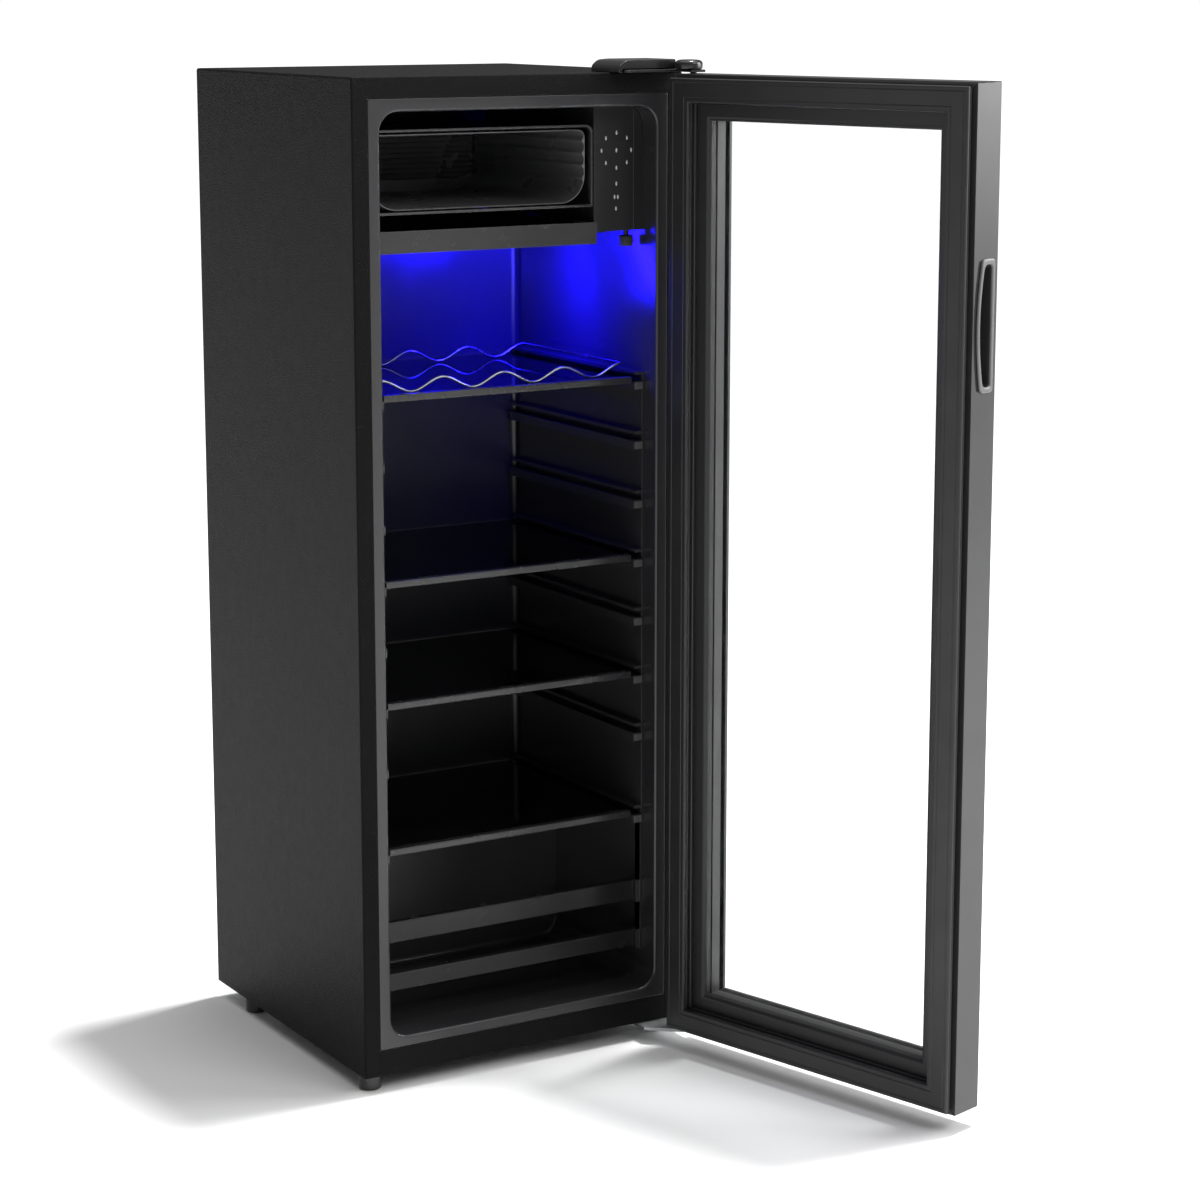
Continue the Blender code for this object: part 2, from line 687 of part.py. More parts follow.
def make_top_hinge():
    """Steel plate on the roof with the upper pin, under a plastic cover and a round cap."""
    low = HEIGHT + GAP
    outline = rounded(350.5, -24.0, WIDTH - 3.0, 44.0, 6.0, 3)
    plate = place("top_hinge_plate", prism(outline, "z", low, low + 3.0), "black_enamel")
    join(plate, block((HINGE_X - 12.0, HINGE_Y - 14.0, low), (WIDTH - 1.0, 0.0, low + 3.0)))
    pin = [(PIN_RADIUS, low - 16.0), (PIN_RADIUS, low + 7.0)]
    join(plate, turned(pin, (HINGE_X, HINGE_Y, 0.0), segments=20))
    base = low + 3.0 + GAP
    outline = [(344.0, low), (344.0, low + 6.0), (352.0, low + 12.5), (366.0, low + 15.0)]
    outline += [(424.0, low + 15.0), (424.0, base), (366.0, base), (349.5, base), (349.5, low)]
    cover = place("hinge_cover", prism(outline, "y", -18.0, 46.0), "black_plastic")
    cut(cover, block((365.0, -16.0, base - 2.0), (422.0, 44.0, low + 13.0)))
    dome = [(15.0, base), (16.5, base + 1.5), (16.5, base + 7.0), (14.0, base + 10.2), (9.0, base + 11.6)]
    dome = turned(dome, (HINGE_X - 6.5, HINGE_Y, 0.0), segments=28)
    cap = place("hinge_pin_cap", dome, "black_plastic", smooth=True)
    bore = PIN_RADIUS + 0.5
    cut(cap, turned([(bore, base - 2.0), (bore, low + 7.5)], (HINGE_X, HINGE_Y, 0.0), segments=20))
    for name, x in (("hinge_screw_left", 376.0), ("hinge_screw_right", 408.0)):
        profile = [(5.0, base), (5.0, base + 1.6), (3.4, base + 3.4)]
        place(name, turned(profile, (x, 20.0, 0.0), segments=16), "bare_steel", smooth=True)


def make_bottom_hinge():
    """Steel plate under the front right corner with the lower pin and a hole for the foot."""
    outline = [(384.0, HINGE_Y + 22.0), (HINGE_X - 14.0, HINGE_Y - 10.0), (WIDTH - 1.0, HINGE_Y - 10.0)]
    outline += [(WIDTH - 1.0, 60.0), (384.0, 60.0)]
    plate = place("bottom_hinge_plate", prism(outline, "z", -4.3, -GAP), "bare_steel")
    join(plate, turned([(PIN_RADIUS, -3.0), (PIN_RADIUS, 14.0)], (HINGE_X, HINGE_Y, 0.0), segments=20))
    cut(plate, turned([(4.6, -12.0), (4.6, 8.0)], (WIDTH - FOOT_X, FRONT_FOOT_Y, 0.0), segments=16))


def make_hinge_empty():
    """Empty on the hinge axis; every door piece hangs from it."""
    hinge = bpy.data.objects.new("door_hinge", None)
    bpy.context.collection.objects.link(hinge)
    hinge.location = (Vector((HINGE_X, HINGE_Y, 0.0)) - Vector((CENTRE_X, CENTRE_Y, -FOOT_HEIGHT))) * MM
    hinge.rotation_euler = (0.0, 0.0, math.radians(DOOR_OPEN))
    return hinge


def mitred(length_axis, edge, inward, low, high):
    """One frame member: an angle section whose ends are cut at 45 degrees.

    The section is given by its distance in from the frame's outer edge and its place in Y.
    """
    section = [
        (0.0, DOOR_FACE),
        (BEZEL, DOOR_FACE),
        (BEZEL, DOOR_FACE + LIP),
        (STILE, DOOR_FACE + LIP),
        (STILE, DOOR_BACK),
        (0.0, DOOR_BACK),
    ]
    trim = 0.25
    bm = bmesh.new()
    rings = []
    for end, onward in ((low, 1.0), (high, -1.0)):
        ring = []
        for depth, y in section:
            across = edge + inward * depth
            along = end + onward * (depth + trim)
            point = (across, y, along) if length_axis == "z" else (along, y, across)
            ring.append(bm.verts.new(point))
        rings.append(ring)
    count = len(section)
    for i in range(count):
        j = (i + 1) % count
        bm.faces.new((rings[0][i], rings[0][j], rings[1][j], rings[1][i]))
    bm.faces.new(rings[0])
    bm.faces.new(rings[1])
    bmesh.ops.recalc_face_normals(bm, faces=bm.faces)
    return bm


def make_door_frame(hinge):
    """Four mitred members, bored for the hinge pins and pocketed for the handle."""
    members = {
        "door_handle_stile": mitred("z", 0.0, 1.0, DOOR_BOTTOM, DOOR_TOP),
        "door_hinge_stile": mitred("z", WIDTH, -1.0, DOOR_BOTTOM, DOOR_TOP),
        "door_bottom_rail": mitred("x", DOOR_BOTTOM, 1.0, 0.0, WIDTH),
        "door_top_rail": mitred("x", DOOR_TOP, -1.0, 0.0, WIDTH),
    }
    parts = {}
    for name, bm in members.items():
        parts[name] = place(name, bm, "door_metal", (HINGE_X, HINGE_Y, 0.0), hinge)
    bore = PIN_RADIUS + 0.5
    for names, low, high in (
        (("door_hinge_stile", "door_top_rail"), DOOR_TOP - 18.0, DOOR_TOP + 10.0),
        (("door_hinge_stile", "door_bottom_rail"), DOOR_BOTTOM - 10.0, DOOR_BOTTOM + 16.0),
    ):
        for name in names:
            cut(parts[name], turned([(bore, low), (bore, high)], (HINGE_X, HINGE_Y, 0.0), segments=20), hinge)
    pocket = block((-5.0, -47.0, HANDLE_LOW + 3.0), (20.0, -23.0, HANDLE_HIGH - 3.0))
    cut(parts["door_handle_stile"], pocket, hinge)


def bow(low_z, high_z, flat_y, end_y, mid_y, steps=10):
    """Outline in Y and Z with one straight side and one side bowed outward."""
    points = [(flat_y, high_z), (flat_y, low_z)]
    for step in range(steps + 1):
        share = step / steps
        bulge = 1.0 - (2.0 * share - 1.0) ** 2
        points.append((end_y + (mid_y - end_y) * bulge, low_z + (high_z - low_z) * share))
    return points


def make_handle(hinge):
    """Recessed pull in the edge of the door: one moulding with a bowed rim and a deep pocket."""
    rim = bow(HANDLE_LOW, HANDLE_HIGH, -49.5, -27.0, -19.5)
    pull = place("door_pull", prism(rim, "x", -2.6, -GAP), "grey_plastic", rider=hinge)
    join(pull, block((-1.0, -46.6, HANDLE_LOW + 3.4), (19.6, -23.4, HANDLE_HIGH - 3.4)), hinge)
    hollow = bow(HANDLE_LOW + 9.0, HANDLE_HIGH - 9.0, -44.6, -34.0, -26.4)
    cut(pull, prism(hollow, "x", -6.0, 17.6), hinge)


def make_glazing(hinge):
    """Two panes with a spacer between them, held by an inner frame."""
    edge = STILE + 2.0
    low = DOOR_BOTTOM + edge
    high = DOOR_TOP - edge
    outer = DOOR_FACE + LIP + GAP
    pane = block((edge, outer, low), (WIDTH - edge, outer + 4.0, high))
    place("outer_pane", pane, "clear_glass", rider=hinge)
    start = outer + 4.0 + GAP
    end = -33.0 - GAP
    rim = rounded(edge, low, WIDTH - edge, high, 1.0, 1)
    mouth = rounded(edge + 14.0, low + 14.0, WIDTH - edge - 14.0, high - 14.0, 1.0, 1)
    place("pane_spacer", frame_prism(rim, mouth, "y", start, end), "grey_plastic", rider=hinge)
    pane = block((edge, -33.0, low), (WIDTH - edge, -29.0, high))
    place("inner_pane", pane, "clear_glass", rider=hinge)
    edge = STILE + 0.6
    rim = rounded(edge, DOOR_BOTTOM + edge, WIDTH - edge, DOOR_TOP - edge, 0.8, 1)
    edge = BEZEL
    mouth = rounded(edge, DOOR_BOTTOM + edge, WIDTH - edge, DOOR_TOP - edge, 0.8, 1)
    place("inner_frame", frame_prism(rim, mouth, "y", -29.0 + GAP, -17.0), "black_plastic", rider=hinge)


def make_seal(hinge):
    """Hollow-looking magnetic seal: a ribbed ring round the back of the door."""
    levels = [
        (DOOR_BACK + GAP, 3.0),
        (-9.6, 3.0),
        (-8.4, 0.6),
        (-4.6, 0.6),
        (-3.6, 0.0),
        (-2.2, 0.0),
        (SEAL_FACE, 1.6),
    ]
    bm = bmesh.new()
    loops = []
    profile = [(y, inset) for y, inset in levels]
    profile += [(y, SEAL_WIDTH - inset) for y, inset in reversed(levels)]
    for y, inset in profile:
        edge = SEAL_INSET + inset
        corners = [
            (edge, DOOR_BOTTOM + edge),
            (WIDTH - edge, DOOR_BOTTOM + edge),
            (WIDTH - edge, DOOR_TOP - edge),
            (edge, DOOR_TOP - edge),
        ]
        loops.append([bm.verts.new((x, y, z)) for x, z in corners])
    for a, b in zip(loops, loops[1:] + loops[:1]):
        for i in range(4):
            j = (i + 1) % 4
            bm.faces.new((a[i], a[j], b[j], b[i]))
    bmesh.ops.recalc_face_normals(bm, faces=bm.faces)
    place("door_seal", bm, "rubber", rider=hinge)


def build():
    """Clear the file's objects and make every piece."""
    for obj in list(bpy.data.objects):
        bpy.data.objects.remove(obj, do_unlink=True)
    make_outer_shell()
    make_front_apron()
    make_base_plate()
    make_liner()
    make_foam()
    make_back_panel()
    make_bottom_tray()
    make_compressor()
    make_grommets()
    make_relay_cover()
    make_condenser()
    make_condenser_wires()
    make_drier()
    make_cord_gland()
    make_feet()
    make_rails("shelf_rails_left", WALL, 1.0)
    make_rails("shelf_rails_right", WIDTH - WALL, -1.0)
    make_shelves()
    make_bottle_cradle()
    make_guard_bars()
    make_evaporator()
    make_chiller_frame()
    make_drip_tray()
    make_tray_rail()
    make_control_housing()
    make_controls()
    make_top_hinge()
    make_bottom_hinge()
    hinge = make_hinge_empty()
    make_door_frame(hinge)
    make_handle(hinge)
    make_glazing(hinge)
    make_seal(hinge)


build()
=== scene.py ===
import json
import math

import bmesh
import bpy
import numpy as np
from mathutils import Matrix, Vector

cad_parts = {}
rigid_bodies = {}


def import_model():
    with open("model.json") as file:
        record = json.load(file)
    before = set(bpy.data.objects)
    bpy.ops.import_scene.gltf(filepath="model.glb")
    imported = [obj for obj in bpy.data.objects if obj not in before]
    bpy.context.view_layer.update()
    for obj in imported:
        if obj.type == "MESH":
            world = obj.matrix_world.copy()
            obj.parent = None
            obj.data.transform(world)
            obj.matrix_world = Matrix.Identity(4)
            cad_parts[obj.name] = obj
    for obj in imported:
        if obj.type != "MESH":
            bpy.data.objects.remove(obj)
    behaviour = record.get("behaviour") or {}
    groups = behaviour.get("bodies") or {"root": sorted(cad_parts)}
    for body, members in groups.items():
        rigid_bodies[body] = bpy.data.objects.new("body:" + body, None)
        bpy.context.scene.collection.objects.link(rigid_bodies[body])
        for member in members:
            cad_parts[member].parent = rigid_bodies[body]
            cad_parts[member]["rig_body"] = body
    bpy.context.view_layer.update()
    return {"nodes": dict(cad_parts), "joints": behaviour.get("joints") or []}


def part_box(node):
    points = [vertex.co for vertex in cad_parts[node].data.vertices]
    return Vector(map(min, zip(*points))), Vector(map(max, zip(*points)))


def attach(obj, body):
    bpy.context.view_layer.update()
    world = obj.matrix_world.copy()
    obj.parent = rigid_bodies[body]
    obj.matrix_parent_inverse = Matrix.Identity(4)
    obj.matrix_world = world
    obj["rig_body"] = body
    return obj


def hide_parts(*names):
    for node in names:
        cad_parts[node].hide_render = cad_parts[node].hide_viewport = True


# Upright glass-door mini fridge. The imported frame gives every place; this file gives the finished surfaces.

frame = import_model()
print("frame loaded:", len(frame["nodes"]), "nodes")

doorHinge = next(joint for joint in frame["joints"] if joint["name"] == "door_hinge")

# Shapes are written in millimetres from the cabinet's lower front left corner:
# x runs right, y runs back from the front face, z runs up.
cabinetCorner = np.array(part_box("outer_shell")[0])
mm = 0.001
cabinet = {"width": 445.0, "depth": 430.0, "height": 1190.0}


# millimetres in the cabinet become metres in the row frame
def atCabinet(points):
    return cabinetCorner + np.asarray(points, float) * mm


# the closed door's millimetres, swung open about the hinge pin by the rest opening
def atDoor(points):
    placed = atCabinet(points)
    pivot = np.array(doorHinge["pos_m"][:2])
    turn = math.radians(-doorHinge["range_deg"][0])
    away = placed[:, :2] - pivot
    placed[:, 0] = pivot[0] + away[:, 0] * math.cos(turn) - away[:, 1] * math.sin(turn)
    placed[:, 1] = pivot[1] + away[:, 0] * math.sin(turn) + away[:, 1] * math.cos(turn)
    return placed


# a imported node's low and high corners, in cabinet millimetres
def boxOf(node):
    low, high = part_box(node)
    return (np.array(low) - cabinetCorner) / mm, (np.array(high) - cabinetCorner) / mm


# faces of a grid: every point is joined to its neighbours both ways. Each row closes on itself, and so may the rows.
def gridFaces(rows, columns, closedRows):
    index = np.arange(rows * columns).reshape(rows, columns)
    if closedRows:
        index = np.vstack([index, index[:1]])
    index = np.hstack([index, index[:, :1]])
    corners = [index[:-1, :-1], index[:-1, 1:], index[1:, 1:], index[1:, :-1]]
    return np.stack(corners, -1).reshape(-1, 4).tolist()


# a skin through a stack of rings, either closed into a loop or with both ends capped flat
def skin(rings, loop=False):
    rows, columns = rings.shape[:2]
    faces = gridFaces(rows, columns, loop)
    if not loop:
        faces.append(list(range(columns))[::-1])
        faces.append(list(range((rows - 1) * columns, rows * columns)))
    return rings.reshape(-1, 3), faces


# two outline coordinates and a place along the axis, as x, y, z
def spread(axis, outline, along):
    along = np.broadcast_to(along, outline.shape[:-1])
    a, b = outline[..., 0], outline[..., 1]
    order = {"x": (along, a, b), "y": (a, along, b), "z": (a, b, along)}[axis]
    return np.stack(order, -1)


# a rectangle's outline drawn inwards: each corner is an arc whose radius shrinks with the inset until it is a mitre
def hoop(low, high, radius, inset, arc=5):
    inset = np.atleast_1d(np.asarray(inset, float))
    count = len(inset)
    low = np.broadcast_to(low, (count, 2)).astype(float)
    high = np.broadcast_to(high, (count, 2)).astype(float)
    radius = np.broadcast_to(np.asarray(radius, float), (count, 4))
    isHigh = np.array([[0, 0], [1, 0], [1, 1], [0, 1]])
    start = np.array([math.pi, 1.5 * math.pi, 0.0, 0.5 * math.pi])
    corner = np.where(isHigh[None] == 0, low[:, None], high[:, None])
    inward = np.where(isHigh == 0, 1.0, -1.0)[None]
    centre = corner + inward * np.maximum(radius, inset[:, None])[..., None]
    reach = np.maximum(radius - inset[:, None], 0.0)
    angle = start[:, None] + np.linspace(0.0, 0.5 * math.pi, arc + 1)[None]
    unit = np.stack([np.cos(angle), np.sin(angle)], -1)
    points = centre[:, :, None] + reach[:, :, None, None] * unit[None]
    return points.reshape(count, -1, 2)


# how far in and how far up a slab's side runs: a quarter round, a straight run, a quarter round
def roundedSide(thickness, edge, steps=3):
    turn = np.linspace(0.0, 0.5 * math.pi, steps + 1)
    inset = edge * (1.0 - np.sin(turn))
    height = edge * (1.0 - np.cos(turn))
    return np.concatenate([inset, inset[::-1]]), np.concatenate([height, thickness - height[::-1]])


# a block with round corners and eased edges: rings of the same outline, drawn in where the edge is eased
def slab(low, high, corner, edge, axis="z", arc=5, steps=3):
    k = "xyz".index(axis)
    others = [i for i in range(3) if i != k]
    low, high = np.array(low, float), np.array(high, float)
    inset, height = roundedSide(high[k] - low[k], edge, steps)
    rings = hoop(low[others], high[others], corner, inset, arc)
    return skin(spread(axis, rings, (low[k] + height)[:, None]))


# a closed profile of distance in and place along the axis, carried round a rectangle
def framed(low, high, radius, profile, axis="y", arc=5):
    profile = np.asarray(profile, float)
    rings = hoop(low, high, radius, profile[:, 0], arc)
    return skin(spread(axis, rings, profile[:, 1][:, None]), loop=True)


# a polygon with its corners eased: each corner becomes a curve that starts and ends a radius away from it
def eased(outline, radius, steps=3):
    outline = np.asarray(outline, float)
    radius = np.broadcast_to(np.asarray(radius, float), len(outline))
    before = np.roll(outline, 1, 0) - outline
    after = np.roll(outline, -1, 0) - outline
    lengthBefore = np.linalg.norm(before, axis=1)
    lengthAfter = np.linalg.norm(after, axis=1)
    reach = np.minimum(radius, 0.49 * np.minimum(lengthBefore, lengthAfter))
    start = outline + before / lengthBefore[:, None] * reach[:, None]
    end = outline + after / lengthAfter[:, None] * reach[:, None]
    t = np.linspace(0.0, 1.0, steps + 1)[None, :, None]
    curve = (1 - t) ** 2 * start[:, None] + 2 * t * (1 - t) * outline[:, None] + t**2 * end[:, None]
    return curve.reshape(-1, 2)


# an outline drawn in along its own normals
def drawnIn(outline, inset):
    along = np.roll(outline, -1, 0) - np.roll(outline, 1, 0)
    along = along / np.maximum(np.linalg.norm(along, axis=1), 1e-9)[:, None]
    normal = np.stack([along[:, 1], -along[:, 0]], -1)
    area = 0.5 * np.sum(outline[:, 0] * np.roll(outline[:, 1], -1) - np.roll(outline[:, 0], -1) * outline[:, 1])
    inset = np.atleast_1d(np.asarray(inset, float))
    return outline[None] - normal[None] * np.sign(area) * inset[:, None, None]


# an outline carried straight along an axis, its end edges eased
def bar(outline, axis, start, end, edge=0.5):
    inset, height = roundedSide(end - start, edge, 2)
    rings = drawnIn(np.asarray(outline, float), inset)
    return skin(spread(axis, rings, (start + height)[:, None]))


# a profile of radius and height turned about an axis; flutes makes the radius dip that many times round
def turned(profile, centre, axis="z", segments=48, flutes=0, depth=0.0):
    profile = np.asarray(profile, float)
    angle = np.linspace(0.0, 2.0 * math.pi, segments, endpoint=False)
    dip = 1.0 - depth * np.clip(np.cos(flutes * angle), 0.0, 1.0) ** 3 if flutes else np.ones(segments)
    outline = profile[:, 0][:, None, None] * (dip[:, None] * np.stack([np.cos(angle), np.sin(angle)], -1))[None]
    points, faces = skin(spread(axis, outline, profile[:, 1][:, None]))
    return points + np.asarray(centre, float), faces


# a line's corners softened: each inner corner becomes a curve that starts and ends a reach away from it
def softPath(points, reach, steps=6):
    points = np.asarray(points, float)
    here = points[1:-1]
    before, after = points[:-2] - here, points[2:] - here
    lengthBefore = np.linalg.norm(before, axis=1)[:, None]
    lengthAfter = np.linalg.norm(after, axis=1)[:, None]
    cut = np.minimum(reach, 0.499 * np.minimum(lengthBefore, lengthAfter))
    start, end = here + before / lengthBefore * cut, here + after / lengthAfter * cut
    t = np.linspace(0.0, 1.0, steps + 1)[None, :, None]
    curve = (1 - t) ** 2 * start[:, None] + 2 * t * (1 - t) * here[:, None] + t**2 * end[:, None]
    return np.vstack([points[:1], curve.reshape(-1, 3), points[-1:]])


# a round section carried along a path: it stands square to the path, with one side turned towards the given direction
def tube(path, radius, up, sides=10, closed=False):
    path = np.asarray(path, float)
    if closed:
        along = np.roll(path, -1, 0) - np.roll(path, 1, 0)
    else:
        along = np.gradient(path, axis=0)
    along = along / np.linalg.norm(along, axis=1)[:, None]
    side = np.cross(along, np.asarray(up, float))
    side = side / np.linalg.norm(side, axis=1)[:, None]
    top = np.cross(side, along)
    angle = np.linspace(0.0, 2.0 * math.pi, sides, endpoint=False)[None, :, None]
    rings = path[:, None] + radius * (np.cos(angle) * side[:, None] + np.sin(angle) * top[:, None])
    return skin(rings, loop=closed)


# many straight round rods at once: the same ring at both ends of every rod, each end closed
def rods(starts, ends, radius, sides=8):
    starts, ends = np.asarray(starts, float), np.asarray(ends, float)
    along = (ends - starts) / np.linalg.norm(ends - starts, axis=1)[:, None]
    helper = np.where(np.abs(along[:, 2:3]) > 0.9, [[0.0, 1.0, 0.0]], [[0.0, 0.0, 1.0]])
    side = np.cross(along, helper)
    side = side / np.linalg.norm(side, axis=1)[:, None]
    top = np.cross(along, side)
    angle = np.linspace(0.0, 2.0 * math.pi, sides, endpoint=False)[None, :, None]
    ring = radius * (np.cos(angle) * side[:, None] + np.sin(angle) * top[:, None])
    both = np.stack([starts[:, None] + ring, ends[:, None] + ring], 1)
    count = len(starts)
    index = np.arange(count * 2 * sides).reshape(count, 2, sides)
    onward = np.roll(index, -1, 2)
    walls = np.stack([index[:, 0], onward[:, 0], onward[:, 1], index[:, 1]], -1).reshape(-1, 4).tolist()
    return both.reshape(-1, 3), walls + index[:, 0, ::-1].tolist() + index[:, 1].tolist()


# smooth shading with creases kept, and normals weighted by face size so that flat faces stay flat
def settle(piece, crease):
    piece.data.shade_smooth()
    piece.data.set_sharp_from_angle(angle=math.radians(crease))
    even = piece.modifiers.new("evenShade", "WEIGHTED_NORMAL")
    even.keep_sharp = True


# finish and body, the body taken from the first node the piece is named with
def dress(piece, finish, nodes):
    piece.data.materials.clear()
    piece.data.materials.append(finish)
    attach(piece, frame["nodes"][nodes[0]]["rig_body"])
    return piece


# one piece from one or more parts, standing for the nodes it is named with
def makePiece(name, parts, finish, nodes, place=atCabinet, crease=40.0, replace=True):
    points, faces, count = [], [], 0
    for partPoints, partFaces in parts:
        points.append(np.asarray(partPoints, float))
        faces += [[corner + count for corner in face] for face in partFaces]
        count += len(partPoints)
    mesh = bpy.data.meshes.new(name)
    mesh.from_pydata(place(np.concatenate(points)).tolist(), [], faces)
    work = bmesh.new()
    work.from_mesh(mesh)
    bmesh.ops.remove_doubles(work, verts=work.verts, dist=2e-6)
    bmesh.ops.recalc_face_normals(work, faces=work.faces)
    work.to_mesh(mesh)
    work.free()
    piece = bpy.data.objects.new(name, mesh)
    bpy.context.scene.collection.objects.link(piece)
    settle(piece, crease)
    dress(piece, finish, nodes)
    if replace:
        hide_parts(*nodes)
    return piece


# a CAD piece with its sharp edges eased: its triangles are merged and flattened, then every edge is rounded
def easedCopy(name, node, finish, width, segments=2):
    mesh = frame["nodes"][node].data.copy()
    mesh.name = name
    work = bmesh.new()
    work.from_mesh(mesh)
    bmesh.ops.remove_doubles(work, verts=work.verts, dist=5e-6)
    bmesh.ops.dissolve_limit(work, angle_limit=math.radians(1.0), verts=work.verts, edges=work.edges)
    work.to_mesh(mesh)
    work.free()
    piece = bpy.data.objects.new(name, mesh)
    bpy.context.scene.collection.objects.link(piece)
    ease = piece.modifiers.new("easedEdges", "BEVEL")
    ease.width = width * mm
    ease.segments = segments
    ease.limit_method = "ANGLE"
    ease.angle_limit = math.radians(32.0)
    ease.use_clamp_overlap = True
    settle(piece, 40.0)
    dress(piece, finish, [node])
    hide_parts(node)
    return piece


# a fresh material with its nodes, links, shader and the object's own coordinates
def newFinish(name):
    finish = bpy.data.materials.new(name)
    finish.use_nodes = True
    nodes, links = finish.node_tree.nodes, finish.node_tree.links
    where = nodes.new("ShaderNodeTexCoord").outputs["Object"]
    return finish, nodes, links, nodes["Principled BSDF"], where


# coordinates stretched along each axis, so that a grain runs one way
def stretched(nodes, links, where, scale):
    mapping = nodes.new("ShaderNodeMapping")
    mapping.inputs["Scale"].default_value = scale
    links.new(where, mapping.inputs["Vector"])
    return mapping.outputs["Vector"]


# soft noise, from nothing to one
def cloud(nodes, links, where, scale, detail=3.0):
    noise = nodes.new("ShaderNodeTexNoise")
    noise.inputs["Scale"].default_value = scale
    noise.inputs["Detail"].default_value = detail
    links.new(where, noise.inputs["Vector"])
    return noise.outputs["Fac"]


# rounded cells, as on pebbled paint
def pebbles(nodes, links, where, scale):
    cells = nodes.new("ShaderNodeTexVoronoi")
    cells.feature = "SMOOTH_F1"
    cells.inputs["Scale"].default_value = scale
    cells.inputs["Smoothness"].default_value = 0.6
    links.new(where, cells.inputs["Vector"])
    return cells.outputs["Distance"]


# one range of values carried over to another
def between(nodes, links, value, low, high, fromLow=0.3, fromHigh=0.7):
    ramp = nodes.new("ShaderNodeMapRange")
    ramp.inputs["From Min"].default_value = fromLow
    ramp.inputs["From Max"].default_value = fromHigh
    ramp.inputs["To Min"].default_value = low
    ramp.inputs["To Max"].default_value = high
    links.new(value, ramp.inputs["Value"])
    return ramp.outputs["Result"]


# two colours mixed by a share
def blended(nodes, links, share, first, second):
    mix = nodes.new("ShaderNodeMix")
    mix.data_type = "RGBA"
    links.new(share, mix.inputs["Factor"])
    for socket, colour in ((mix.inputs["A"], first), (mix.inputs["B"], second)):
        if isinstance(colour, (tuple, list)):
            socket.default_value = (*colour, 1.0)
        else:
            links.new(colour, socket)
    return mix.outputs["Result"]


# how much an edge is rounded off by touch: the angle between the true normal and one blurred over a small reach
def worn(nodes, links, reach, amount):
    soft = nodes.new("ShaderNodeBevel")
    soft.samples = 4
    soft.inputs["Radius"].default_value = reach
    plain = nodes.new("ShaderNodeNewGeometry")
    dot = nodes.new("ShaderNodeVectorMath")
    dot.operation = "DOT_PRODUCT"
    links.new(soft.outputs["Normal"], dot.inputs[0])
    links.new(plain.outputs["Normal"], dot.inputs[1])
    return between(nodes, links, dot.outputs["Value"], amount, 0.0, 0.8, 0.995)


# bump layers stacked, each a height, a strength and a distance
def bumped(nodes, links, layers):
    normal = None
    for height, strength, distance in layers:
        bump = nodes.new("ShaderNodeBump")
        bump.inputs["Strength"].default_value = strength
        bump.inputs["Distance"].default_value = distance
        links.new(height, bump.inputs["Height"])
        if normal is not None:
            links.new(normal, bump.inputs["Normal"])
        normal = bump.outputs["Normal"]
    return normal


# a hard finish: its colour drifts slowly, its edges wear lighter, its gloss varies, and its grain stands up a little
def hardFinish(name, settings):
    finish, nodes, links, shader, where = newFinish(name)
    colour = settings["colour"]
    spreadOf = settings.get("drift", 0.15)
    dark = tuple(c * (1.0 - spreadOf) for c in colour)
    light = tuple(c * (1.0 + spreadOf) for c in colour)
    drift = between(nodes, links, cloud(nodes, links, where, settings.get("driftScale", 9.0)), 0.0, 1.0)
    shade = blended(nodes, links, drift, dark, light)
    if "wear" in settings:
        edge = worn(nodes, links, settings.get("wearReach", 0.0012), settings["wear"])
        shade = blended(nodes, links, edge, shade, tuple(min(1.0, c * 2.2 + 0.02) for c in colour))
    links.new(shade, shader.inputs["Base Color"])
    low, high = settings["rough"]
    smear = cloud(nodes, links, where, settings.get("roughScale", 22.0), 5.0)
    links.new(between(nodes, links, smear, low, high), shader.inputs["Roughness"])
    shader.inputs["Metallic"].default_value = settings.get("metal", 0.0)
    shader.inputs["Specular IOR Level"].default_value = settings.get("specular", 0.5)
    layers = []
    for kind, scale, strength, distance in settings.get("grain", []):
        if kind == "pebbles":
            height = pebbles(nodes, links, where, scale)
        elif kind == "brushed":
            along = settings.get("brushAlong", (1.0, 1.0, 0.01))
            height = cloud(nodes, links, stretched(nodes, links, where, along), scale, 4.0)
        else:
            height = cloud(nodes, links, where, scale, 4.0)
        layers.append((height, strength, distance))
    if layers:
        links.new(bumped(nodes, links, layers), shader.inputs["Normal"])
    return finish


# thin clear or tinted glass: mostly see-through, mirroring a few parts in a hundred head on and more at a slant
def glassFinish(name, tint, rough):
    finish, nodes, links, shader, where = newFinish(name)
    nodes.remove(shader)
    output = next(node for node in nodes if node.type == "OUTPUT_MATERIAL")
    facing = nodes.new("ShaderNodeLayerWeight")
    facing.inputs["Blend"].default_value = 0.5
    slant = nodes.new("ShaderNodeMath")
    slant.operation = "POWER"
    slant.inputs[1].default_value = 5.0
    links.new(facing.outputs["Facing"], slant.inputs[0])
    share = between(nodes, links, slant.outputs["Value"], 0.026, 1.0, 0.0, 1.0)
    through = nodes.new("ShaderNodeBsdfTransparent")
    smudge = cloud(nodes, links, where, 14.0, 5.0)
    links.new(blended(nodes, links, between(nodes, links, smudge, 0.0, 1.0), tint, tuple(0.996 * c for c in tint)),
              through.inputs["Color"])
    shine = nodes.new("ShaderNodeBsdfGlossy")
    shine.inputs["Color"].default_value = (0.9, 0.9, 0.9, 1.0)
    links.new(between(nodes, links, smudge, rough, rough + 0.03), shine.inputs["Roughness"])
    mix = nodes.new("ShaderNodeMixShader")
    links.new(share, mix.inputs["Fac"])
    links.new(through.outputs["BSDF"], mix.inputs[1])
    links.new(shine.outputs["BSDF"], mix.inputs[2])
    links.new(mix.outputs["Shader"], output.inputs["Surface"])
    return finish


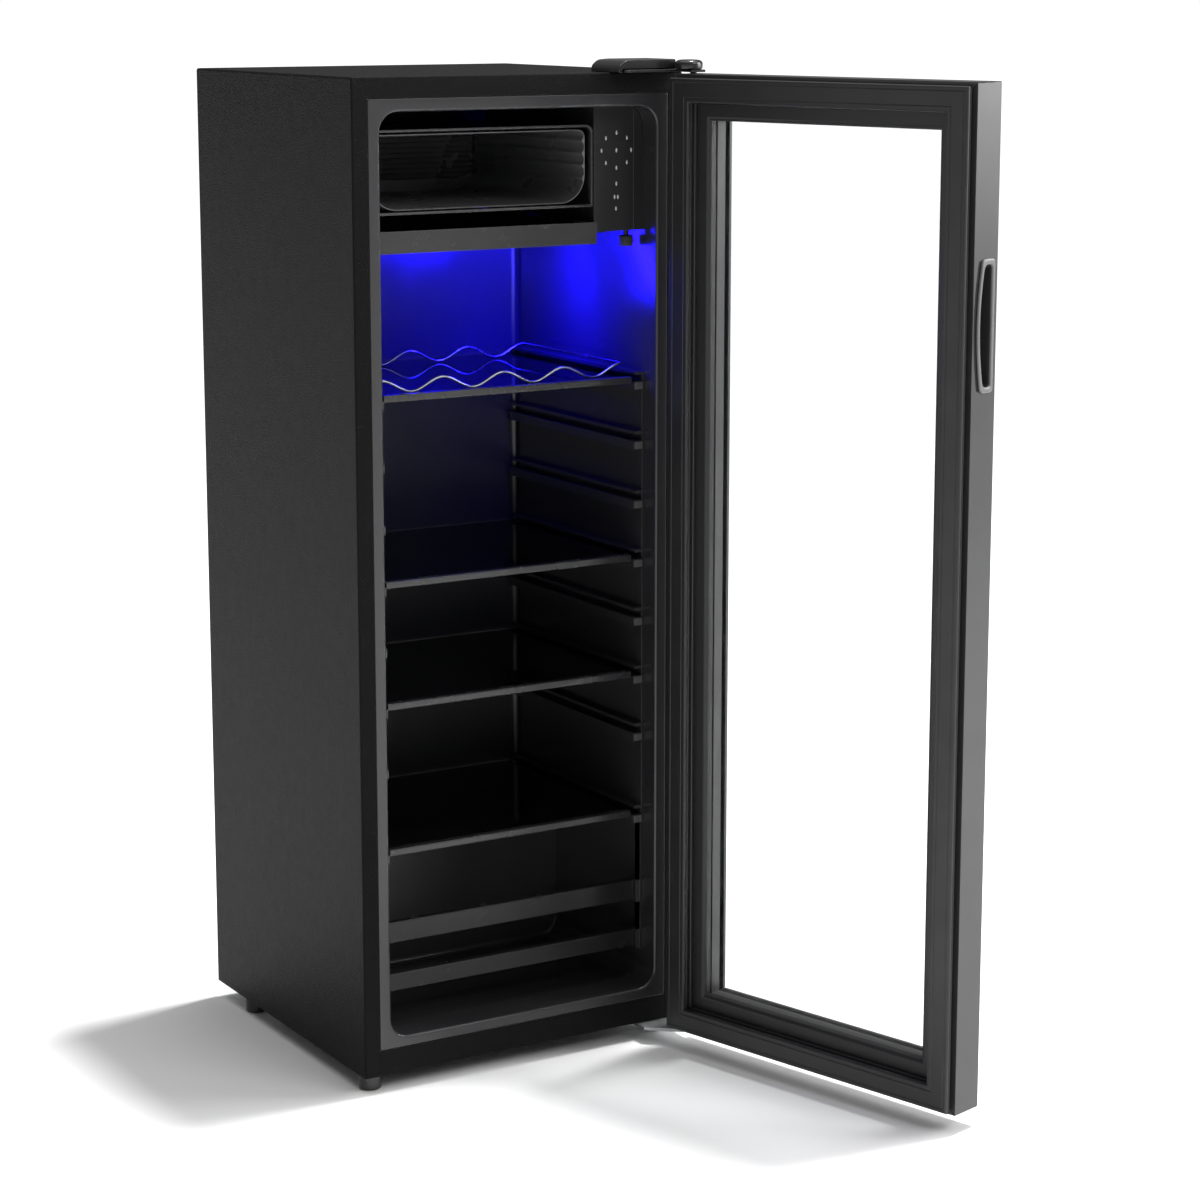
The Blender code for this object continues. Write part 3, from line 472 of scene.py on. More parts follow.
finishes = {
    "shellPaint": hardFinish("shellPaint", {
        "colour": (0.0045, 0.0045, 0.0047), "rough": (0.42, 0.46), "specular": 0.06, "drift": 0.05, "wear": 0.5,
        "roughScale": 60.0, "grain": [("pebbles", 760.0, 0.9, 0.0005), ("fine", 1500.0, 0.35, 0.0002)]}),
    "panelPaint": hardFinish("panelPaint", {
        "colour": (0.020, 0.020, 0.021), "rough": (0.4, 0.55), "specular": 0.4, "wear": 0.4,
        "grain": [("fine", 240.0, 0.2, 0.0003), ("fine", 1400.0, 0.2, 0.0001)]}),
    "linerGloss": hardFinish("linerGloss", {
        "colour": (0.021, 0.021, 0.0225), "rough": (0.22, 0.26), "specular": 0.5, "drift": 0.05,
        "grain": [("fine", 40.0, 0.02, 0.0012), ("fine", 900.0, 0.10, 0.0001)]}),
    "blackPlastic": hardFinish("blackPlastic", {
        "colour": (0.015, 0.015, 0.016), "rough": (0.38, 0.44), "specular": 0.36, "wear": 0.6, "drift": 0.06,
        "grain": [("fine", 1300.0, 0.35, 0.00015)]}),
    "greyPlastic": hardFinish("greyPlastic", {
        "colour": (0.011, 0.011, 0.0115), "rough": (0.24, 0.28), "specular": 0.3, "drift": 0.06,
        "wear": 0.9, "wearReach": 0.0018, "grain": [("fine", 1200.0, 0.25, 0.00012)]}),
    "trimGrey": hardFinish("trimGrey", {
        "colour": (0.020, 0.020, 0.021), "rough": (0.24, 0.29), "specular": 0.5, "drift": 0.06,
        "wear": 0.8, "wearReach": 0.0018, "grain": [("fine", 900.0, 0.15, 0.0001)]}),
    # painted highlight: the rail ends are the rails' own plastic, given this lighter grey for light falling on their
    # front faces
    "railEndHighlightGrey": hardFinish("railEndHighlightGrey", {
        "colour": (0.075, 0.075, 0.077), "rough": (0.28, 0.36), "specular": 0.5, "drift": 0.08,
        "grain": [("fine", 900.0, 0.12, 0.0001)]}),
    "studWhite": hardFinish("studWhite", {
        "colour": (0.42, 0.42, 0.42), "rough": (0.24, 0.34), "specular": 0.5,
        "grain": [("fine", 900.0, 0.1, 0.0001)]}),
    # painted shadow: a near-black matte for the crescent beside the pull's rim, standing for the shade in a deeper
    # scoop
    "paintedShadowBlack": hardFinish("paintedShadowBlack", {
        "colour": (0.004, 0.004, 0.004), "rough": (0.55, 0.7), "specular": 0.2,
        "grain": [("fine", 1200.0, 0.2, 0.0001)]}),
    "pocketBlack": hardFinish("pocketBlack", {
        "colour": (0.018, 0.018, 0.018), "rough": (0.45, 0.6), "specular": 0.35, "brushAlong": (1.0, 1.0, 0.06),
        "grain": [("brushed", 420.0, 0.5, 0.0005), ("fine", 1200.0, 0.2, 0.0001)]}),
    "capGloss": hardFinish("capGloss", {
        "colour": (0.012, 0.012, 0.0125), "rough": (0.16, 0.26), "specular": 0.6, "wear": 0.5, "drift": 0.08,
        "grain": [("fine", 900.0, 0.10, 0.0001)]}),
    "doorSatin": hardFinish("doorSatin", {
        "colour": (0.026, 0.026, 0.027), "rough": (0.30, 0.36), "specular": 0.6, "metal": 0.15, "wear": 0.5,
        "drift": 0.06, "grain": [("brushed", 900.0, 0.08, 0.0001), ("fine", 1500.0, 0.10, 0.0001)]}),
    "pullGrey": hardFinish("pullGrey", {
        "colour": (0.11, 0.11, 0.11), "rough": (0.26, 0.36), "specular": 0.6, "wear": 0.5, "drift": 0.08,
        "grain": [("fine", 1100.0, 0.15, 0.00012)]}),
    "sealRubber": hardFinish("sealRubber", {
        "colour": (0.012, 0.012, 0.0125), "rough": (0.32, 0.44), "specular": 0.42, "driftScale": 18.0, "drift": 0.08,
        "grain": [("fine", 420.0, 0.06, 0.0003), ("fine", 1700.0, 0.15, 0.0001)]}),
    "bareSteel": hardFinish("bareSteel", {
        "colour": (0.42, 0.43, 0.44), "rough": (0.28, 0.46), "metal": 1.0, "wear": 0.3, "drift": 0.2,
        "grain": [("brushed", 700.0, 0.2, 0.0001), ("fine", 260.0, 0.1, 0.0002)]}),
    "brightWire": hardFinish("brightWire", {
        "colour": (0.34, 0.35, 0.36), "rough": (0.20, 0.30), "metal": 1.0,
        "grain": [("fine", 800.0, 0.1, 0.0001)]}),
    "spacerMetal": hardFinish("spacerMetal", {
        "colour": (0.045, 0.045, 0.046), "rough": (0.34, 0.46), "metal": 0.2, "specular": 0.5, "drift": 0.08,
        "grain": [("brushed", 800.0, 0.10, 0.0001)]}),
    "coldPlate": hardFinish("coldPlate", {
        "colour": (0.13, 0.13, 0.135), "rough": (0.26, 0.32), "metal": 0.35, "drift": 0.08,
        "grain": [("fine", 380.0, 0.1, 0.0002), ("fine", 1200.0, 0.1, 0.0001)]}),
    "blackEnamel": hardFinish("blackEnamel", {
        "colour": (0.014, 0.014, 0.015), "rough": (0.20, 0.36), "specular": 0.5, "wear": 0.5,
        "grain": [("fine", 150.0, 0.12, 0.0004), ("fine", 900.0, 0.15, 0.0001)]}),
    "copperTube": hardFinish("copperTube", {
        "colour": (0.72, 0.36, 0.22), "rough": (0.24, 0.44), "metal": 1.0, "drift": 0.25, "driftScale": 60.0,
        "grain": [("fine", 500.0, 0.15, 0.0002)]}),
    "foam": hardFinish("foam", {
        "colour": (0.62, 0.55, 0.38), "rough": (0.85, 0.95), "drift": 0.12, "driftScale": 30.0,
        "grain": [("pebbles", 420.0, 0.6, 0.0008)]}),
    "clearGlass": glassFinish("clearGlass", (0.997, 1.0, 0.999), 0.0),
    "shelfGlass": glassFinish("shelfGlass", (0.34, 0.35, 0.36), 0.02),
}


# the lamp's lens: a blue diffuser whose glow drifts a little over its face
def lensFinish():
    finish, nodes, links, shader, where = newFinish("blueLens")
    shader.inputs["Base Color"].default_value = (0.05, 0.10, 0.95, 1.0)
    shader.inputs["Emission Color"].default_value = (0.012, 0.02, 1.0, 1.0)
    glow = between(nodes, links, cloud(nodes, links, where, 34.0, 1.0), 7.0, 14.0)
    links.new(glow, shader.inputs["Emission Strength"])
    links.new(between(nodes, links, cloud(nodes, links, where, 300.0), 0.25, 0.4), shader.inputs["Roughness"])
    return finish


finishes["blueLens"] = lensFinish()
print("finishes made:", len(finishes))


shell = {"sheet": 1.2, "flange": 20.5, "topFlange": 24.8, "corner": 3.0, "fold": 2.4, "seam": 0.45, "seamDepth": 1.15}


# the wrapped sheet: its section is carried up the right side, across the top and down the left side.
# At the front the flanges meet in a mitre, where a fine V runs along the seam.
def makeShell():
    w, h, d = cabinet["width"], cabinet["height"], cabinet["depth"]
    s = shell["sheet"]
    section = eased(
        [(0.0, d), (0.0, 0.0), (shell["flange"], 0.0), (shell["flange"], s), (s, s), (s, d)],
        [0.3, shell["fold"], 0.5, 0.4, 1.2, 0.3], 4)
    inset, y = section[:, 0], section[:, 1]
    top = inset * shell["topFlange"] / shell["flange"]
    t = np.linspace(0.0, 1.0, 9)[None]
    reach = np.maximum(shell["corner"] - inset, 0.0)[:, None]
    x = w - np.maximum(shell["corner"], inset)[:, None] + reach * np.cos(0.5 * math.pi * t)
    z = h - np.maximum(shell["corner"], top)[:, None] + reach * np.sin(0.5 * math.pi * t)
    onFlange = np.clip((inset - shell["corner"]) / 2.0, 0.0, 1.0)[:, None]
    x = x - onFlange * shell["seam"] * np.clip(2.0 * t - 1.0, 0.0, 1.0)
    z = z - onFlange * shell["seam"] * np.clip(1.0 - 2.0 * t, 0.0, 1.0)
    push = onFlange * shell["seamDepth"] * (1.0 - np.abs(2.0 * t - 1.0))
    right = np.stack([x, y[:, None] + push, z], -1)
    foot = np.stack([w - inset, y, np.zeros_like(y)], -1)[:, None]
    right = np.concatenate([foot, right], 1)
    left = right[:, ::-1] * [-1.0, 1.0, 1.0] + [w, 0.0, 0.0]
    rings = np.concatenate([right, left], 1).transpose(1, 0, 2)
    makePiece("shellSheet", [skin(rings)], finishes["shellPaint"], ["outer_shell"])


liner = {"wall": 36.0, "floor": 45.0, "ceiling": 1149.5, "back": 345.0, "corner": 24.0, "skin": 2.0,
         "flangeLow": (20.8, 32.0), "flangeHigh": (424.2, 1164.9), "lip": 3.5,
         "backRound": 9.0, "stepFront": 246.0, "stepTop": 222.0}


# the tub: rings go from the back wall forward along the walls, out over the lip and flange, and back outside.
# Each ring's low edge follows the step over the compressor.
def makeLiner():
    base, lip, soft = liner["floor"], liner["lip"], liner["backRound"]
    low, high = np.array([liner["wall"], base]), np.array([cabinet["width"] - liner["wall"], liner["ceiling"]])
    front, top, back = liner["stepFront"], liner["stepTop"], liner["back"]
    quarter = np.linspace(0.0, 0.5 * math.pi, 6)
    rows = [(back, soft, top)]
    rows += [(back - soft * (1 - math.cos(a)), soft * (1 - math.sin(a)), top) for a in quarter[1:]]
    rows += [(front + 11.0, 0.0, top), (front + 8.0, 0.0, top - 1.5), (front + 4.0, 0.0, top - 8.0)]
    rows += [(front + 1.0, 0.0, top - 17.0), (front, 0.0, top - 24.0), (front, 0.0, base + 8.0)]
    rows += [(front - 1.0, 0.0, base + 4.0), (front - 4.0, 0.0, base + 1.0), (front - 8.0, 0.0, base)]
    rows += [(54.0, 0.0, base), (52.4, 0.0, base + 1.4), (40.6, 0.0, base + 1.4), (39.0, 0.0, base)]  # floor ridge
    rows += [(lip * (1 - math.sin(a)), -lip * (1 - math.cos(a)), base) for a in quarter]
    y, inset, floor = (np.array(column, float) for column in zip(*rows))
    deep = np.clip((floor - base) / (top - base), 0.0, 1.0)
    corner = liner["corner"] - deep[:, None] * np.array([[14.0, 14.0, 0.0, 0.0]])
    lows = np.stack([np.full_like(floor, low[0]), floor], -1)
    inner = hoop(lows, high, corner, inset, 8)
    innerRings = spread("y", inner, y[:, None])
    flangeRows = np.array([(1.0, 0.0), (0.3, 0.25), (0.0, 1.0), (0.0, liner["skin"])])
    flange = hoop(liner["flangeLow"], liner["flangeHigh"], 3.0, flangeRows[:, 0], 8)
    flangeRings = spread("y", flange, flangeRows[:, 1][:, None])
    outer = hoop(lows[::-1] - liner["skin"], high + liner["skin"], corner[::-1] + liner["skin"], inset[::-1], 8)
    outerRings = spread("y", outer, np.maximum(y[::-1] + liner["skin"], liner["skin"] + 0.2)[:, None])
    rings = np.concatenate([innerRings, flangeRings, outerRings])
    makePiece("innerTub", [skin(rings)], finishes["linerGloss"], ["inner_liner"], crease=50.0)


railEnd = {"width": 11.0, "height": 8.4, "proud": 0.5, "drop": 9.8, "inFromSide": 1.8,
           "levels": [264.0, 444.0, 518.0, 592.0, 666.0, 740.0, 814.0, 370.0]}


# a small stop on the front end of every rail, painted lighter grey than the rail's plastic as a painted highlight
# where the end face catches the light
def makeRailEnds():
    wide, tall = railEnd["width"], railEnd["height"]
    for node, name in (("shelf_rails_left", "leftRailEnds"), ("shelf_rails_right", "rightRailEnds")):
        low, high = boxOf(node)
        onLeft = node == "shelf_rails_left"
        start = low[0] + railEnd["inFromSide"] if onLeft else high[0] - railEnd["inFromSide"] - wide
        parts = []
        for level in railEnd["levels"]:
            under = level - railEnd["drop"]
            parts.append(slab((start, low[1] - railEnd["proud"], under), (start + wide, low[1] + 2.0, under + tall),
                              1.2, 0.5, "y"))
        makePiece(name, parts, finishes["railEndHighlightGrey"], [node], replace=False)


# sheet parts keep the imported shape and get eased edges; the foam only gets its finish
def makeCabinetSheets():
    easedCopy("apronStrip", "front_apron", finishes["shellPaint"], 0.8, 3)
    easedCopy("floorSheet", "base_plate", finishes["panelPaint"], 0.35)
    easedCopy("rearPanel", "back_panel", finishes["panelPaint"], 0.4)
    easedCopy("rearRail", "compressor_rail", finishes["bareSteel"], 0.5)
    easedCopy("leftRails", "shelf_rails_left", finishes["linerGloss"], 0.7)
    easedCopy("rightRails", "shelf_rails_right", finishes["linerGloss"], 0.7)
    frame["nodes"]["foam_insulation"].data.materials.clear()
    frame["nodes"]["foam_insulation"].data.materials.append(finishes["foam"])


makeShell()
makeLiner()
makeCabinetSheets()
makeRailEnds()
print("cabinet made")


shelf = {"glassEdge": 1.1, "glassCorner": 5.0, "seat": 2.6, "slot": 3.2, "lip": 1.2}


# each pane is a slab with ground edges; each front strip is a section with a slot for the pane, carried across
def makeShelves():
    for number in range(1, 5):
        low, high = boxOf(f"shelf_{number}_glass")
        makePiece(f"shelf{number}Glass", [slab(low, high, shelf["glassCorner"], shelf["glassEdge"])],
                  finishes["shelfGlass"], [f"shelf_{number}_glass"])
        low, high = boxOf(f"shelf_{number}_trim")
        seat, slot, under = low[2] + shelf["seat"], low[1] + shelf["slot"], high[2] - shelf["lip"]
        strip = eased(
            [(low[1], low[2]), (high[1], low[2]), (high[1], seat), (slot, seat), (slot, under),
             (high[1], under), (high[1], high[2]), (low[1], high[2])],
            [1.6, 0.5, 0.4, 0.3, 0.3, 0.4, 0.5, 1.8], 4)
        makePiece(f"shelf{number}Strip", [bar(strip, "x", low[0], high[0], 0.5)],
                  finishes["trimGrey"], [f"shelf_{number}_trim"])


cradle = {"wire": 1.6, "lift": 15.0, "bottles": 4, "steps": 96}


# the wire's height is a cosine wave with one crest between each pair of bottles, the same at front and back
def makeCradle():
    low, high = boxOf("bottle_cradle")
    r = cradle["wire"]
    share = np.linspace(0.0, 1.0, cradle["steps"] + 1)
    x = low[0] + r + (high[0] - low[0] - 2 * r) * share
    z = low[2] + r + 0.5 * cradle["lift"] * (1.0 + np.cos(2.0 * math.pi * cradle["bottles"] * share))
    front = np.stack([x, np.full_like(x, low[1] + r), z], -1)
    back = np.stack([x[::-1], np.full_like(x, high[1] - r), z[::-1]], -1)
    path = np.concatenate([front, back])
    makePiece("bottleCradle", [tube(path, r, (0.0, 0.0, 1.0), 12, closed=True)],
              finishes["brightWire"], ["bottle_cradle"], crease=80.0)


guard = {"web": 2.6, "tongue": 7.0}


# a channel section carried across, with a flat tongue on each end that sits in the slots
def makeGuardBars():
    tongue = guard["tongue"]
    for node, name in (("guard_bar_lower", "lowerGuardBar"), ("guard_bar_upper", "upperGuardBar")):
        low, high = boxOf(node)
        face, web = low[1], low[1] + guard["web"]
        section = eased(
            [(face, low[2]), (face + 6.0, low[2]), (face + 6.0, low[2] + 2.0), (web, low[2] + 2.0),
             (web, high[2] - 2.4), (face + 9.0, high[2] - 2.4), (face + 9.0, high[2]), (face, high[2])],
            [1.4, 0.6, 0.5, 0.4, 0.4, 0.5, 0.8, 2.4], 5)
        parts = [bar(section, "x", low[0] + tongue, high[0] - tongue, 0.5)]
        for start, end in ((low[0], low[0] + tongue + 0.4), (high[0] - (tongue + 0.4), high[0])):
            parts.append(slab((start, face + 0.1, low[2] + 0.2), (end, web - 0.1, high[2] - 0.2), 2.0, 0.4, "y"))
        makePiece(name, parts, finishes["greyPlastic"], [node])


makeShelves()
makeCradle()
makeGuardBars()
print("shelves, cradle and guard bars made")


chiller = {"wall": 1.8, "channel": 2.4, "pitch": 15.0, "points": 300, "corners": [34.0, 34.0, 10.0, 10.0],
           "louvres": 9, "louvreRise": 2.0, "louvreStep": 1.9}


# points spaced evenly along a closed outline
def evenly(outline, count):
    closed = np.vstack([outline, outline[:1]])
    step = np.concatenate([[0.0], np.cumsum(np.linalg.norm(np.diff(closed, axis=0), axis=1))])
    at = np.linspace(0.0, step[-1], count, endpoint=False)
    return np.stack([np.interp(at, step, closed[:, k]) for k in range(2)], -1)


# the cold plate: a round-cornered box whose side walls swell inwards in a row of channels that run to the back,
# each the square of a cosine's upper half along the height
def makeEvaporator():
    low, high = boxOf("evaporator")
    outline = evenly(hoop(low[[0, 2]], high[[0, 2]], chiller["corners"], 0.0, 12)[0], chiller["points"])
    x, z = outline[:, 0], outline[:, 1]
    onSide = np.clip((np.abs(x - 0.5 * (low[0] + high[0])) - 0.5 * (high[0] - low[0]) + 1.2) / 1.2, 0.0, 1.0)
    wave = np.clip(np.cos(2.0 * math.pi * (z - low[2] - 30.0) / chiller["pitch"]), 0.0, 1.0) ** 2
    inside = drawnIn(outline, 1.0)[0] - outline
    inner = outline + inside * (chiller["wall"] + chiller["channel"] * onSide * wave)[:, None]
    y0, y1 = low[1], high[1]
    rows = [(outline, y0 + 0.6), (outline, y1), (inner, y1), (inner, y0 + 0.6), (outline + inside * 1.3, y0),
            (outline + inside * 0.4, y0)]
    rings = [spread("y", shape, y) for shape, y in rows]
    makePiece("coldPlateBox", [skin(np.stack(rings), loop=True)], finishes["coldPlate"], ["evaporator"])


# the rim round its mouth and the louvred wall behind it; each louvre is one tooth of a saw along the height
def makeChillerTrim():
    low, high = boxOf("chiller_frame")
    y0, y1 = low[1], high[1]
    profile = eased([(0.0, y1), (0.0, y0), (3.4, y0), (3.4, y1)], [0.4, 1.4, 1.4, 0.4], 3)
    makePiece("chillerRim", [framed(low[[0, 2]], high[[0, 2]], [3.0, 3.0, 10.0, 3.0], profile, "y", 8)],
              finishes["trimGrey"], ["chiller_frame"])
    low, high = boxOf("chiller_back")
    count, rise, step = chiller["louvres"], chiller["louvreRise"], chiller["louvreStep"]
    edges = np.linspace(low[2] + 16.0, high[2] - 14.0, count + 1)
    teeth = np.stack([np.stack([np.full(count, low[1]), edges[:-1]], -1),
                      np.stack([np.full(count, low[1] + step), edges[:-1] + rise], -1)], 1).reshape(-1, 2)
    outline = np.vstack([[(high[1], high[2]), (high[1], low[2]), (low[1], low[2])], teeth, [(low[1], high[2])]])
    makePiece("chillerRear", [bar(outline, "x", low[0] + 2.0, high[0] - 2.0, 0.2)],
              finishes["coldPlate"], ["chiller_back"])


housing = {"dot": 1.3, "tall": 2.0, "proud": 0.8, "ringRadius": 21.0, "ringCentre": (372.5, 1096.0),
           "others": [(372.5, 1056.0), (370.0, 1040.0), (374.6, 1040.0), (372.0, 1026.0)],
           "seam": 1107.0, "ridge": 397.0, "faceAtLeast": 33.0}


# small domes on the housing's face: eight on a circle, one in its middle, and a few below
def makeHousing():
    easedCopy("controlHousing", "control_housing", finishes["blackPlastic"], 0.9, 3)
    low, high = boxOf("control_housing")
    face = low[1] if low[1] > housing["faceAtLeast"] else housing["faceAtLeast"] + 1.0
    around = np.arange(8) * math.pi / 4.0
    centre = np.array(housing["ringCentre"])
    ring = centre + housing["ringRadius"] * np.stack([np.cos(around), np.sin(around)], -1)
    spots = np.vstack([ring, centre[None], housing["others"]])
    r, up = housing["dot"], housing["proud"]
    dome = [(r, 0.2), (r, -0.1), (0.85 * r, -0.6 * up), (0.5 * r, -0.9 * up), (0.02, -up)]
    parts = []
    for x, z in spots:
        points, faces = turned(dome, (0.0, face, 0.0), "y", 12)
        parts.append((points * [1.0, 1.0, housing["tall"]] + [x, 0.0, z], faces))
    makePiece("housingStuds", parts, finishes["studWhite"], ["control_housing"], replace=False)
    seam, at = housing["seam"], housing["ridge"]
    strip = slab((low[0] + 2.0, face - 0.3, seam - 0.4), (at - 1.0, face + 0.2, seam + 0.4), 0.3, 0.15, "y")
    ridge = slab((at - 0.7, face - 0.6, low[2] + 1.0), (at + 0.7, face + 0.2, high[2] - 3.0), 0.5, 0.5, "y")
    makePiece("housingSeam", [strip, ridge], finishes["greyPlastic"], ["control_housing"], replace=False)


knob = {"flutes": 18, "depth": 0.07,
        "grip": [(0.02, 979.0), (6.6, 979.0), (7.8, 979.4), (8.6, 980.8), (8.9, 984.0), (8.9, 990.0), (8.2, 991.6),
                 (7.0, 992.2), (0.02, 992.3)],
        "stem": [(0.02, 992.0), (3.8, 992.2), (3.4, 993.0), (3.4, 1008.4), (0.02, 1008.6)]}


# the knob is two turned profiles, the grip with flutes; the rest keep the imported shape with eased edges
def makeControls():
    low, high = boxOf("thermostat_knob")
    x, y = 0.5 * (low[0] + high[0]), 0.5 * (low[1] + high[1])
    parts = [turned(knob["grip"], (x, y, 0.0), "z", 108, knob["flutes"], knob["depth"]),
             turned(knob["stem"], (x, y, 0.0), "z", 32)]
    makePiece("thermostatKnob", parts, finishes["blackPlastic"], ["thermostat_knob"])
    easedCopy("lightRocker", "light_switch", finishes["greyPlastic"], 0.6, 3)
    low, high = boxOf("lamp_lens")
    makePiece("lampLens", [slab(low, high, 4.0, 1.2)], finishes["blueLens"], ["lamp_lens"])
    easedCopy("drippingTray", "drip_tray", finishes["trimGrey"], 0.8, 3)
    easedCopy("trayRail", "tray_rail", finishes["blackPlastic"], 0.5)
    easedCopy("thermostatBlock", "thermostat", finishes["greyPlastic"], 0.8)


makeEvaporator()
makeChillerTrim()
makeHousing()
makeControls()
print("chiller and controls made")


door = {"face": -57.5, "back": -13.3, "sealInset": 4.0, "sealFace": -0.8, "bottom": 1.5, "top": 1188.5}


# the four mitred members, with eased edges
def makeDoorFrame():
    for node, name in (("door_handle_stile", "handleStile"), ("door_hinge_stile", "hingeStile"),
                       ("door_bottom_rail", "bottomRail"), ("door_top_rail", "topRail")):
        easedCopy(name, node, finishes["doorSatin"], 0.9, 3)


# the seal's section, carried round the door: a base in its groove, a narrow neck, a soft outer bead,
# a flat magnet face with two fine lines, and an inner bead
def makeSeal():
    inset, base, face = door["sealInset"], door["back"] + 0.3, door["sealFace"]
    profile = eased(
        [(3.4, base), (3.4, base + 2.6), (1.6, base + 3.4), (1.6, base + 4.6), (3.0, base + 5.6), (0.6, base + 7.4),
         (0.0, base + 9.6), (1.2, face), (5.2, face), (5.9, face - 0.7), (6.6, face), (22.4, face), (23.1, face - 0.7),
         (23.8, face), (28.6, face), (30.0, base + 9.4), (29.2, base + 6.6), (27.2, base + 5.6), (28.4, base + 4.4),
         (28.4, base + 3.2), (26.6, base + 2.4), (26.6, base)],
        [0.3, 0.5, 0.5, 0.6, 0.8, 0.9, 1.6, 1.4, 0.3, 0.2, 0.3, 0.3, 0.2, 0.3, 1.4, 1.6, 0.9, 0.8, 0.6, 0.5, 0.5,
         0.3], 3)
    low = (inset, door["bottom"] + inset)
    high = (cabinet["width"] - inset, door["top"] - inset)
    makePiece("doorSeal", [framed(low, high, 0.0, profile, "y", 1)], finishes["sealRubber"], ["door_seal"], atDoor)


# the crescent's width and thickness size the painted shadow beside the rim
pull = {"low": 845.0, "high": 995.0, "flat": -49.5, "end": -27.0, "mid": -19.5, "rim": 4.6, "depth": 17.0,
        "shadowCrescent": 4.4, "shadowCrescentDepth": 0.28}


# how far a side bows: a parabola that is nothing at both ends and one in the middle
def bow(low, high, end, mid, count=11):
    share = np.linspace(0.0, 1.0, count)
    bulge = 1.0 - (2.0 * share - 1.0) ** 2
    return np.stack([end + (mid - end) * bulge, low + (high - low) * share], -1)


# the handle's outline: one straight side and one bowed side, with rounded ends, drawn in by an inset
def bowed(inset):
    low, high = pull["low"] + inset * 1.4, pull["high"] - inset * 1.4
    side = bow(low, high, pull["end"] - inset, pull["mid"] - inset)
    flat = np.array([(pull["flat"] + inset, high), (pull["flat"] + inset, low)])
    radius = np.concatenate([[5.0, 5.0], [7.0], np.full(9, 6.0), [7.0]])
    return eased(np.vstack([flat, side]), radius, 4)


# the rim is a closed loop of rings round the outline; the pocket is a stack of shrinking rings behind it;
# the painted shadow is a black crescent between two bowed lines, laid where the rim's lip would cast shade
def makePull():
    rim, deep = pull["rim"], pull["depth"]
    rows = [(0.8, -0.3), (0.0, -0.5), (0.0, -1.5), (0.35, -2.3), (1.2, -2.6), (rim - 1.4, -2.6),
            (rim - 0.4, -2.2), (rim, -1.2), (rim, -0.3)]
    rings = np.stack([spread("x", bowed(inset), x) for inset, x in rows])
    makePiece("pullRim", [skin(rings, loop=True)], finishes["pullGrey"], ["door_pull"], atDoor, 60.0)
    rows = [(4.4, 18.6), (4.2, 8.0), (4.0, -0.25), (rim - 0.2, -0.4), (rim + 0.2, 0.4), (rim + 0.6, 3.0),
            (rim + 1.2, 10.0), (rim + 2.4, 14.5), (rim + 4.6, deep)]
    rings = np.stack([spread("x", bowed(inset), x) for inset, x in rows])
    makePiece("pullPocket", [skin(rings)], finishes["pocketBlack"], ["door_pull"], atDoor, 60.0, replace=False)
    # the painted shadow: a thin black crescent on the stile's end face where the rim's lip would cast shade
    end, mid, out = pull["end"], pull["mid"], pull["shadowCrescent"]
    far = bow(pull["low"] + 1.0, pull["high"] - 1.0, end + out, mid + out)
    near = bow(pull["low"] + 4.0, pull["high"] - 4.0, end - 1.6, mid - 1.6)[::-1]
    shadowCrescent = eased(np.vstack([far, near]), np.concatenate([np.full(11, 4.0), [1.0], np.full(9, 4.0), [1.0]]), 3)
    makePiece("pullPaintedShadow", [bar(shadowCrescent, "x", -pull["shadowCrescentDepth"], 0.4, 0.1)], finishes["paintedShadowBlack"],
              ["door_pull"], atDoor, 60.0, replace=False)


glazing = {"edge": 36.0, "ease": 0.5, "pane": 4.0, "innerFace": -33.0, "spacer": 16.0, "bead": 34.6}


# two panes, the hollow spacer between them, and the bead that holds them: each frame is a section carried round
def makeGlazing():
    edge, width = glazing["edge"], cabinet["width"]
    low, high = door["bottom"] + edge, door["top"] - edge
    panes = (("outer_pane", "outerPane", door["face"] + 4.8), ("inner_pane", "innerPane", glazing["innerFace"]))
    for node, name, y in panes:
        part = slab((edge, y, low), (width - edge, y + glazing["pane"], high), 1.0, glazing["ease"], "y", 2, 2)
        makePiece(name, [part], finishes["clearGlass"], [node], atDoor)
    start, end, wide = door["face"] + 9.1, -33.3, glazing["spacer"]
    spacer = eased([(0.0, start), (wide, start), (wide, end), (0.0, end)], [0.5, 1.0, 1.0, 0.5], 3)
    makePiece("paneSpacer", [framed((edge, low), (width - edge, high), 0.5, spacer, "y", 1)],
              finishes["spacerMetal"], ["pane_spacer"], atDoor)
    inner = glazing["bead"]
    bead = eased([(0.0, -28.7), (54.0 - inner, -28.7), (54.0 - inner, -20.0), (50.0 - inner, -17.0), (0.0, -17.0)],
                 [0.4, 0.6, 1.6, 1.6, 0.5], 3)
    low, high = (inner, door["bottom"] + inner), (width - inner, door["top"] - inner)
    makePiece("innerBead", [framed(low, high, 0.5, bead, "y", 2)], finishes["blackPlastic"], ["inner_frame"], atDoor)


makeDoorFrame()
makeSeal()
makePull()
makeGlazing()
print("door made")


hinge = {"capCentre": (429.5, -38.0), "roof": 1190.3, "front": -18.0, "rear": 46.0, "lift": 3.3}


